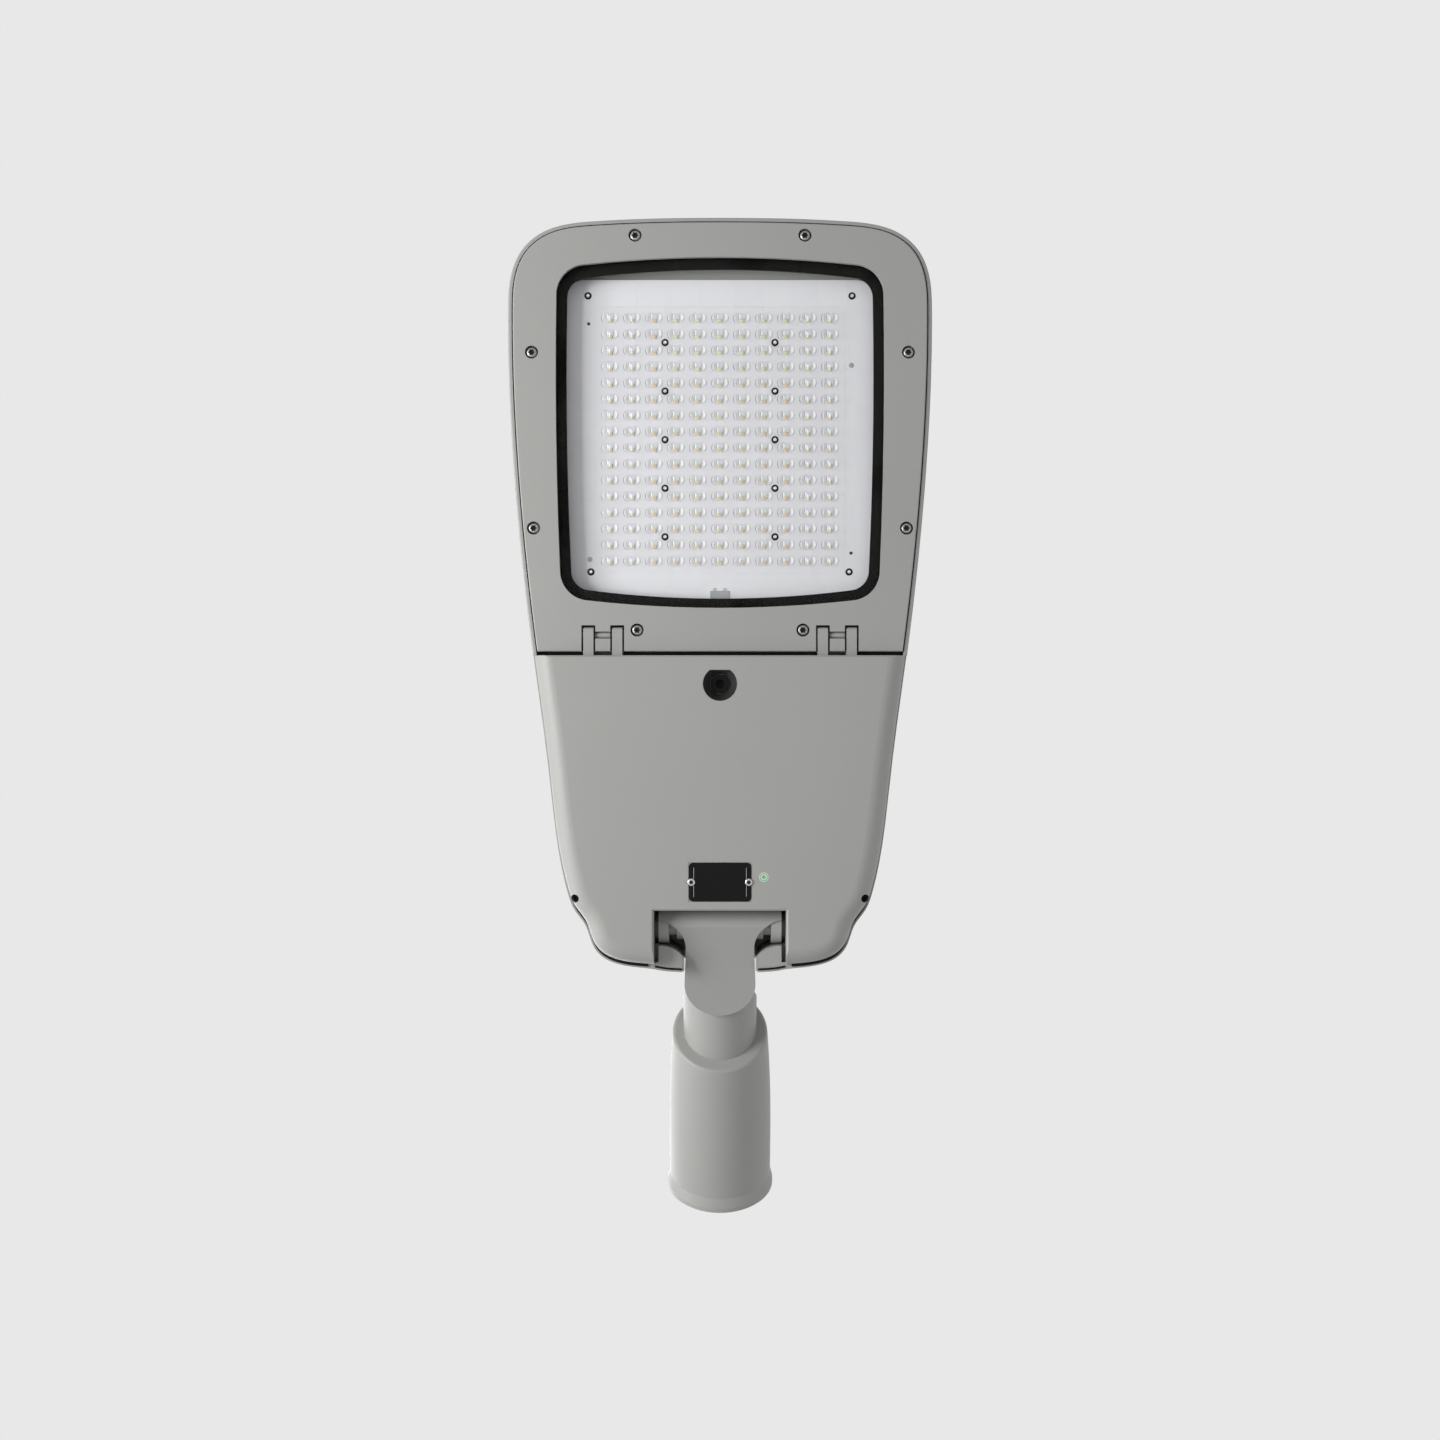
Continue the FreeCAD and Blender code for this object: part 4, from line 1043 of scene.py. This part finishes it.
    def build_connector(self) -> Piece:
        """The small lead connector at the board's rear edge, with its four soldered feet.

        Returns:
            The new piece.
        """
        shape = Shape()
        at = self.place.at(0.0, self.connector_y, self.board_face)
        (half_x, half_y), height = self.connector_half, self.connector_height
        (top_x, top_y), (corner, top_corner) = self.connector_top, self.connector_corners
        straight = (self.sunk, -self.connector_straight * height)
        rings = [panel_ring(half_x, half_y, corner, z) for z in straight]
        rings.append(panel_ring(top_x * half_x, top_y * half_y, top_corner, -height))
        shape.stack(rings, at)
        foot = [panel_ring(*self.foot, z, 2) for z in (self.sunk, -self.foot_height)]
        for side in SIDES:
            for end in SIDES:
                offset = Vector((side * self.foot_across * half_x, end * (half_y + self.foot_gap), 0))
                shape.stack(foot, at + offset, 1)
        materials = [self.finishes.grey_nylon, self.finishes.steel]
        made = shape.piece("lead_connector", Body.HEAD, Slot.BOARD, materials)
        made.visible_shadow = False
        return made

    def build_pads(self) -> Piece:
        """Two soldered test pads, and two dark discs that paint the shade of the board's pin holes.

        Returns:
            The new piece.
        """
        shape = Shape()
        kinds = (
            (self.test_pads, self.pad_rings, self.pad_sides),
            (self.pin_holes, self.hole_rings, self.hole_sides),
        )
        for material, (places, sizes, sides) in enumerate(kinds):
            rings = [regular_ring(radius, sides, z) for radius, z in sizes]
            for x, y in places:
                shape.stack(rings, self.place.at(x, y, self.board_face), material)
        # The blackened steel discs are painted shade for the pin holes.
        materials = [self.finishes.grey_nylon, self.finishes.dark_steel]
        return shape.piece("board_pads", Body.HEAD, Slot.BOARD, materials)

    def build(self) -> list[Piece]:
        """Builds the whole light engine.

        Returns:
            The new pieces.
        """
        return [
            self.build_sheet(),
            self.build_domes(),
            self.build_ribs(),
            self.build_chips(),
            self.build_screws(),
            self.build_connector(),
            self.build_pads(),
        ]


@dataclass
class FrameFixings(SubAssembly):
    """The lens frame's eight screws, and black strips in its hinge slots that paint the shade of the gaps."""

    screws: Screws = Screws()
    half: Points = ((0.0595, 0.4858), (0.132, 0.4039), (0.1306, 0.2807), (0.0581, 0.2093))
    seat: float = 0.0032
    screw: ScrewSize = ScrewSize(0.0039, 0.0023, 0.0024, 0.012, 0.0045, 0.0004)
    hinge_x: float = 0.0821
    hinge_y: float = 0.2058
    ear_apart: float = 0.0101
    ear_half: float = 0.0036
    ear_reach: float = 0.0056
    ear_gap: float = 0.0007
    shade_strip_profile: Points = (
        (-0.0001, 0.0048), (-0.0001, 0.0001), (-0.0005, 0.0001),
        (-0.0005, -0.00006), (0.00025, -0.00006), (0.00025, 0.0048),
    )
    slot_rear: float = 0.1946

    def build_slot_shade_strips(self) -> Piece:
        """Thin black strips around the cover's hinge ears, on the walls of the frame's slots: painted shade
        in the gaps, in the rubber finish.

        Returns:
            The new piece.
        """
        shape = Shape()
        reach = self.ear_half + self.ear_gap
        front = self.hinge_y + self.ear_reach + self.ear_gap
        for x in [hinge * self.hinge_x + ear * self.ear_apart for hinge in SIDES for ear in SIDES]:
            lines = []
            for inset, height in self.shade_strip_profile:
                half, end = reach - inset, front - inset
                turns = [(-half, self.slot_rear), (-half, end), (half, end), (half, self.slot_rear)]
                lines.append([self.place.at(x + dx, y, height) for dx, y in turns])
            shape.channel(lines)
        # The black rubber finish here is painted shade for the dark gaps around the ears.
        return shape.piece("hinge_slot_shade_strips", Body.HEAD, Slot.SEAL, [self.finishes.rubber])

    def build_screws(self) -> Piece:
        """The eight screws as one piece, with black washers and sockets that paint the shade of the wells and
        socket recesses.

        Returns:
            The new piece.
        """
        places = [self.place.at(x, y, self.seat) for x, y in mirrored(self.half)]
        dark = self.finishes.nylon
        # Black washer and socket: painted shade of the well around each head and of the socket recess.
        materials = [self.finishes.dull_steel, dark, dark]
        shape = self.screws.shape(places, self.screw)
        made = shape.piece("frame_screw_heads", Body.HEAD, Slot.SCREW, materials)
        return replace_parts(made, "frame_screws")

    def build(self) -> list[Piece]:
        """Builds the screws and the painted shade strips of the slots."""
        return [self.build_screws(), self.build_slot_shade_strips()]


@dataclass
class CoverTrim(SubAssembly):
    """What is on the gear cover: the blank plate and its screws, a sticker and the lock well's painted shade
    lining.
    """

    screws: Screws = Screws()
    plate_y: float = 0.0336
    plate_low: float = -0.0084
    plate_high: float = -0.0076
    half_x: float = 0.0217
    half_y: float = 0.0135
    corner: float = 0.003
    bevel: float = 0.00025
    line_inset: float = 0.0034
    line_width: float = 0.00028
    line_proud: float = 0.00003
    screw_x: float = 0.02
    screw: ScrewSize = ScrewSize(0.0026, 0.0008, 0.001, 0.0006, 0.0028, 0.0001)
    sticker: Point = (-0.0304, 0.0371)
    sticker_radius: float = 0.0033
    sticker_thickness: float = 0.00006
    sticker_sides: int = 40
    sticker_rings: tuple[float, ...] = (1.0, 0.86, 0.66, 0.42, 0.2)
    sunk: float = 0.0001
    cover_face: float = -0.008
    latch_y: float = 0.1715
    latch_sides: int = 64
    hole_sides: int = 48
    latch_mouth: float = 0.012
    latch_throat: float = 0.0072
    latch_cone: float = 0.008
    latch_flat: float = 0.0094
    latch_hole: float = 0.0068
    latch_depth: float = 0.0035
    latch_tuck: float = 0.0003
    latch_lip: float = 0.0003
    lining: float = 0.00025

    def build_plate(self) -> Piece:
        """The black plate with a bevelled edge and a thin pale line near each end.

        Returns:
            The new piece.
        """
        half = (self.half_x, self.half_y)
        rings = bevelled(half, self.corner, self.plate_high, self.plate_low, self.bevel)
        shape = Shape()
        at = self.place.at(0, self.plate_y, 0)
        shape.stack(rings, at)
        reach, thin = self.half_y - self.line_inset, self.line_width / 2
        heights = (self.plate_low + self.sunk, self.plate_low - self.line_proud)
        line = [panel_ring(thin, reach, thin / 2, z, 2) for z in heights]
        for side in SIDES:
            shape.stack(line, at + Vector((side * (self.half_x - self.line_inset), 0, 0)), 1)
        materials = [self.finishes.lacquer, self.finishes.pale_line]
        made = shape.piece("blank_plate", Body.COVER, Slot.PLATE, materials)
        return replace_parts(made, "rating_plate")

    def build_screws(self) -> Piece:
        """The two screws that hold the plate.

        Returns:
            The new piece.
        """
        seats = mirrored([(self.screw_x, self.plate_y)])
        places = [self.place.at(x, y, self.plate_low) for x, y in seats]
        dark = self.finishes.nylon
        # The black sockets are painted shade in their recesses.
        materials = [self.finishes.steel, dark, dark]
        shape = self.screws.shape(places, self.screw)
        made = shape.piece("plate_screws", Body.COVER, Slot.SCREW, materials)
        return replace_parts(made, "plate_rivets")

    def build_sticker(self) -> Piece:
        """A small round sticker beside the plate: a pale disc with a green ring.

        Returns:
            The new piece.
        """
        shape = Shape()
        sizes = [(self.sticker_rings[0], self.sunk)]
        sizes += [(share, -self.sticker_thickness) for share in self.sticker_rings]
        rings = [regular_ring(share * self.sticker_radius, self.sticker_sides, z) for share, z in sizes]
        at = self.place.at(*self.sticker, self.cover_face)
        shape.stack(rings, at, steps=(0, 0, 1, 0, 1, 1))
        materials = [self.finishes.sticker_rim, self.finishes.sticker_green]
        return shape.piece("round_sticker", Body.COVER, Slot.PLATE, materials)

    def latch_edge(self, turn: float) -> float:
        """The latch well's flat towards the lamp bay, as its distance from the centre at an angle."""
        return self.latch_flat / max(math.sin(turn), SMALLEST_SINE)

    def latch_ring(self, radius: float, z: float) -> Ring:
        """A ring of the latch well, round with a flat."""
        return regular_ring(radius, self.latch_sides, z, lambda t: min(1.0, self.latch_edge(t) / radius))

    def build_latch_well_shade(self) -> Piece:
        """A dark lining that paints the shade inside the recess and the deep hole over the cover's screw.

        Returns:
            The new piece.
        """
        shape = Shape()
        at = self.place.at(0, self.latch_y, self.cover_face)
        bottom = self.latch_cone - self.lining
        cone = [
            self.latch_ring(self.latch_throat + self.latch_tuck, bottom),
            self.latch_ring(self.latch_mouth - self.sunk, self.sunk),
            self.latch_ring(self.latch_mouth - self.latch_lip, self.sunk),
            self.latch_ring(self.latch_throat - self.lining, bottom),
        ]
        shape.stack(cone, at, ends=Ends.JOINED)
        outer, inner = self.latch_hole, self.latch_hole - self.lining
        deep = self.latch_cone + self.latch_depth
        wall = ((outer, bottom), (outer, deep), (inner, deep), (inner, bottom))
        rings = [regular_ring(radius, self.hole_sides, z) for radius, z in wall]
        shape.stack(rings, at, 1, ends=Ends.JOINED)
        # Both finishes are painted shade: dark grey on the cone, black in the hole.
        materials = [self.finishes.recess, self.finishes.nylon]
        return shape.piece("latch_well_shade", Body.COVER, Slot.PLATE, materials, smooth_below=30.0)

    def build(self) -> list[Piece]:
        """Builds the cover's trim."""
        return [self.build_plate(), self.build_screws(), self.build_sticker(), self.build_latch_well_shade()]


@dataclass
class ArmSlot(SubAssembly):
    """What closes the head's rear edge beside the arm: a rubber bead and two thin painted guards."""

    outer_edge: Points = (
        (0.0268, -0.02996), (0.0299, -0.02984), (0.0339, -0.02961),
        (0.0379, -0.02927), (0.0419, -0.0287), (0.0458, -0.02792),
    )
    bead_width: float = 0.0013
    bead_low: float = 0.0064
    seat: float = 0.0073
    guard_inner: float = 0.0252
    guard_outer: float = 0.0266
    guard_heights: tuple[float, float] = (0.0074, 0.0134)
    guard_ends: tuple[float, float] = (-0.0308, -0.0204)
    guard_bevel: float = 0.3

    def build_bead(self) -> Piece:
        """The rubber bead along the rear edge, beside the arm.

        Returns:
            The new piece.
        """
        shape = Shape()
        low, high, wide = self.bead_low, self.seat, self.bead_width
        profile = ((0.0, high), (0.0, low), (wide, low), (wide, high))
        for side in SIDES:
            edge = [(side * x, y) for x, y in self.outer_edge]
            shape.channel([[self.place.at(x, y + inward, z) for x, y in edge] for inward, z in profile])
        return shape.piece("rear_edge_bead", Body.HEAD, Slot.SEAL, [self.finishes.rubber])

    def build_guards(self) -> Piece:
        """The two guards on the slot's walls, which leave the arm's neck a narrow gap.

        Returns:
            The new piece.
        """
        shape = Shape()
        half_x = (self.guard_outer - self.guard_inner) / 2
        half_y = (self.guard_ends[1] - self.guard_ends[0]) / 2
        low, high = self.guard_heights
        bevel = self.guard_bevel * half_x
        end_face = (half_x - bevel, half_y - bevel, bevel)
        wall = (half_x, half_y, 2 * bevel)
        levels = ((end_face, high), (wall, high - bevel), (wall, low + bevel), (end_face, low))
        rings = [panel_ring(*outline, z, 3) for outline, z in levels]
        middle = ((self.guard_inner + self.guard_outer) / 2, sum(self.guard_ends) / 2)
        for x, y in mirrored([middle]):
            shape.stack(rings, self.place.at(x, y, 0))
        return shape.piece("arm_slot_guards", Body.HEAD, Slot.HOUSING, [self.finishes.paint])

    def build(self) -> list[Piece]:
        """Builds the bead and the guards."""
        return [self.build_bead(), self.build_guards()]


# Studio


@dataclass(frozen=True)
class Lamp:
    """A soft square lamp: where it stands from the head's middle, its side and its watts."""

    name: str
    offset: tuple[float, float, float]
    size: float
    power: float


@dataclass
class Studio:
    """The floor, the sky, the lamps and the camera."""

    place: HeadPlace
    shown_to: tuple[str, ...] = ("Is Camera Ray", "Is Glossy Ray", "Is Transmission Ray")
    backdrop: float = 0.807
    ambient: float = 0.42
    floor_z: float = -1.9
    floor_half: float = 9.0
    floor_share: float = 0.75
    floor_lift: float = 1.15
    floor_tone: float = 0.86
    floor_drift: float = 0.02
    drift_scale: float = 1.5
    distance: float = 1.12
    aim_y: float = 0.1463
    half_view: float = 0.504
    sensor: float = 36.0
    clip: float = 0.01
    middle_y: float = 0.2
    lamps: tuple[Lamp, ...] = (
        Lamp("key", (1.05, 0.1, -0.7), 0.6, 14.9),
        Lamp("left", (1.2, -0.5, -0.15), 0.6, 4.7),
        Lamp("right", (-1.2, -0.4, -0.25), 0.9, 2.2),
        Lamp("top", (0.7, -0.9, 1.5), 1.4, 14.0),
    )

    def build_world(self) -> None:
        """A pale sky that lights softly and shows the photograph's flat background."""
        world = bpy.data.worlds.new("pale_sky")
        bpy.context.scene.world = world
        sky = Network(world)
        seen = sky.seen_by(self.shown_to)
        light, shown = (
            sky.node("ShaderNodeBackground", None, {"Color": opaque(WHITE), "Strength": level})
            for level in (self.ambient, self.backdrop)
        )
        mixed = sky.node("ShaderNodeMixShader", None, {0: seen, 1: light.outputs[0], 2: shown.outputs[0]})
        sky.node("ShaderNodeOutputWorld", None, {"Surface": mixed.outputs[0]})

    def build_floor(self) -> None:
        """A plain floor well below the lamp, as pale as the sky wherever it is seen."""
        surface = Surface("pale_floor")
        seen = surface.seen_by(self.shown_to)
        drift = surface.noise(self.drift_scale)
        base = surface.tinted(WHITE, self.floor_tone + drift.swing(self.floor_drift))
        plain = surface.node("ShaderNodeBsdfDiffuse", None, {"Color": base})
        level = self.backdrop * self.floor_lift
        pale = surface.node("ShaderNodeEmission", None, {"Color": opaque(3 * (level,))})
        sockets = {0: self.floor_share * seen, 1: plain.outputs[0], 2: pale.outputs[0]}
        mixed = surface.node("ShaderNodeMixShader", None, sockets)
        surface.node("ShaderNodeOutputMaterial", None, {"Surface": mixed.outputs[0]})
        mesh = bmesh.new()
        bmesh.ops.create_grid(mesh, x_segments=8, y_segments=8, size=self.floor_half)
        data = bpy.data.meshes.new("floor")
        mesh.to_mesh(data)
        mesh.free()
        data.materials.append(surface.material)
        floor = placed("floor", data)
        floor.location = (0, 0, self.floor_z)

    def build_lamps(self) -> None:
        """Soft lamps that the camera doesn't see: the key on the photograph's left, three weaker ones."""
        middle = self.place.at(0, self.middle_y, 0)
        for lamp in self.lamps:
            data = bpy.data.lights.new(lamp.name, "AREA")
            data.shape = "SQUARE"
            data.size = lamp.size
            data.energy = lamp.power
            offset = Vector(lamp.offset)
            made = placed(lamp.name, data)
            made.location = middle + offset
            made.rotation_euler = (-offset).to_track_quat("-Z", "Y").to_euler()
            made.visible_camera = False

    def build_camera(self) -> None:
        """The camera under the lamp, looking straight up, at the photograph's distance and framing."""
        data = bpy.data.cameras.new("camera")
        data.sensor_width = self.sensor
        data.lens = self.sensor / 2 * self.distance / self.half_view
        data.clip_start = self.clip
        camera = placed("camera", data)
        camera.location = self.place.at(0, self.aim_y, -self.distance)
        camera.rotation_euler = (0, math.pi, 0)
        bpy.context.scene.camera = camera

    def build(self) -> None:
        """Builds the studio and sets the plain view transform."""
        self.build_world()
        self.build_floor()
        self.build_lamps()
        self.build_camera()
        bpy.context.scene.view_settings.view_transform = "Standard"


def main() -> None:
    """Builds the head's looks and the studio, and reports each piece."""
    logging.basicConfig(level=logging.INFO, format="%(name)s: %(message)s")
    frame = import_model()
    pivot = next(joint for joint in frame["joints"] if joint["name"] == "arm_tilt")["pos_m"]
    place = HeadPlace(pivot_y=pivot[1], face_z=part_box("lens_frame")[0].z)
    finishes = Finishes()
    Castings(finishes).dress(frame["nodes"])
    for kind in (LightEngine, FrameFixings, CoverTrim, ArmSlot):
        for piece in kind(place, finishes).build():
            LOG.info("%s: %d faces", piece.name, len(piece.data.polygons))
    Studio(place).build()


if __name__ == "__main__":
    main()
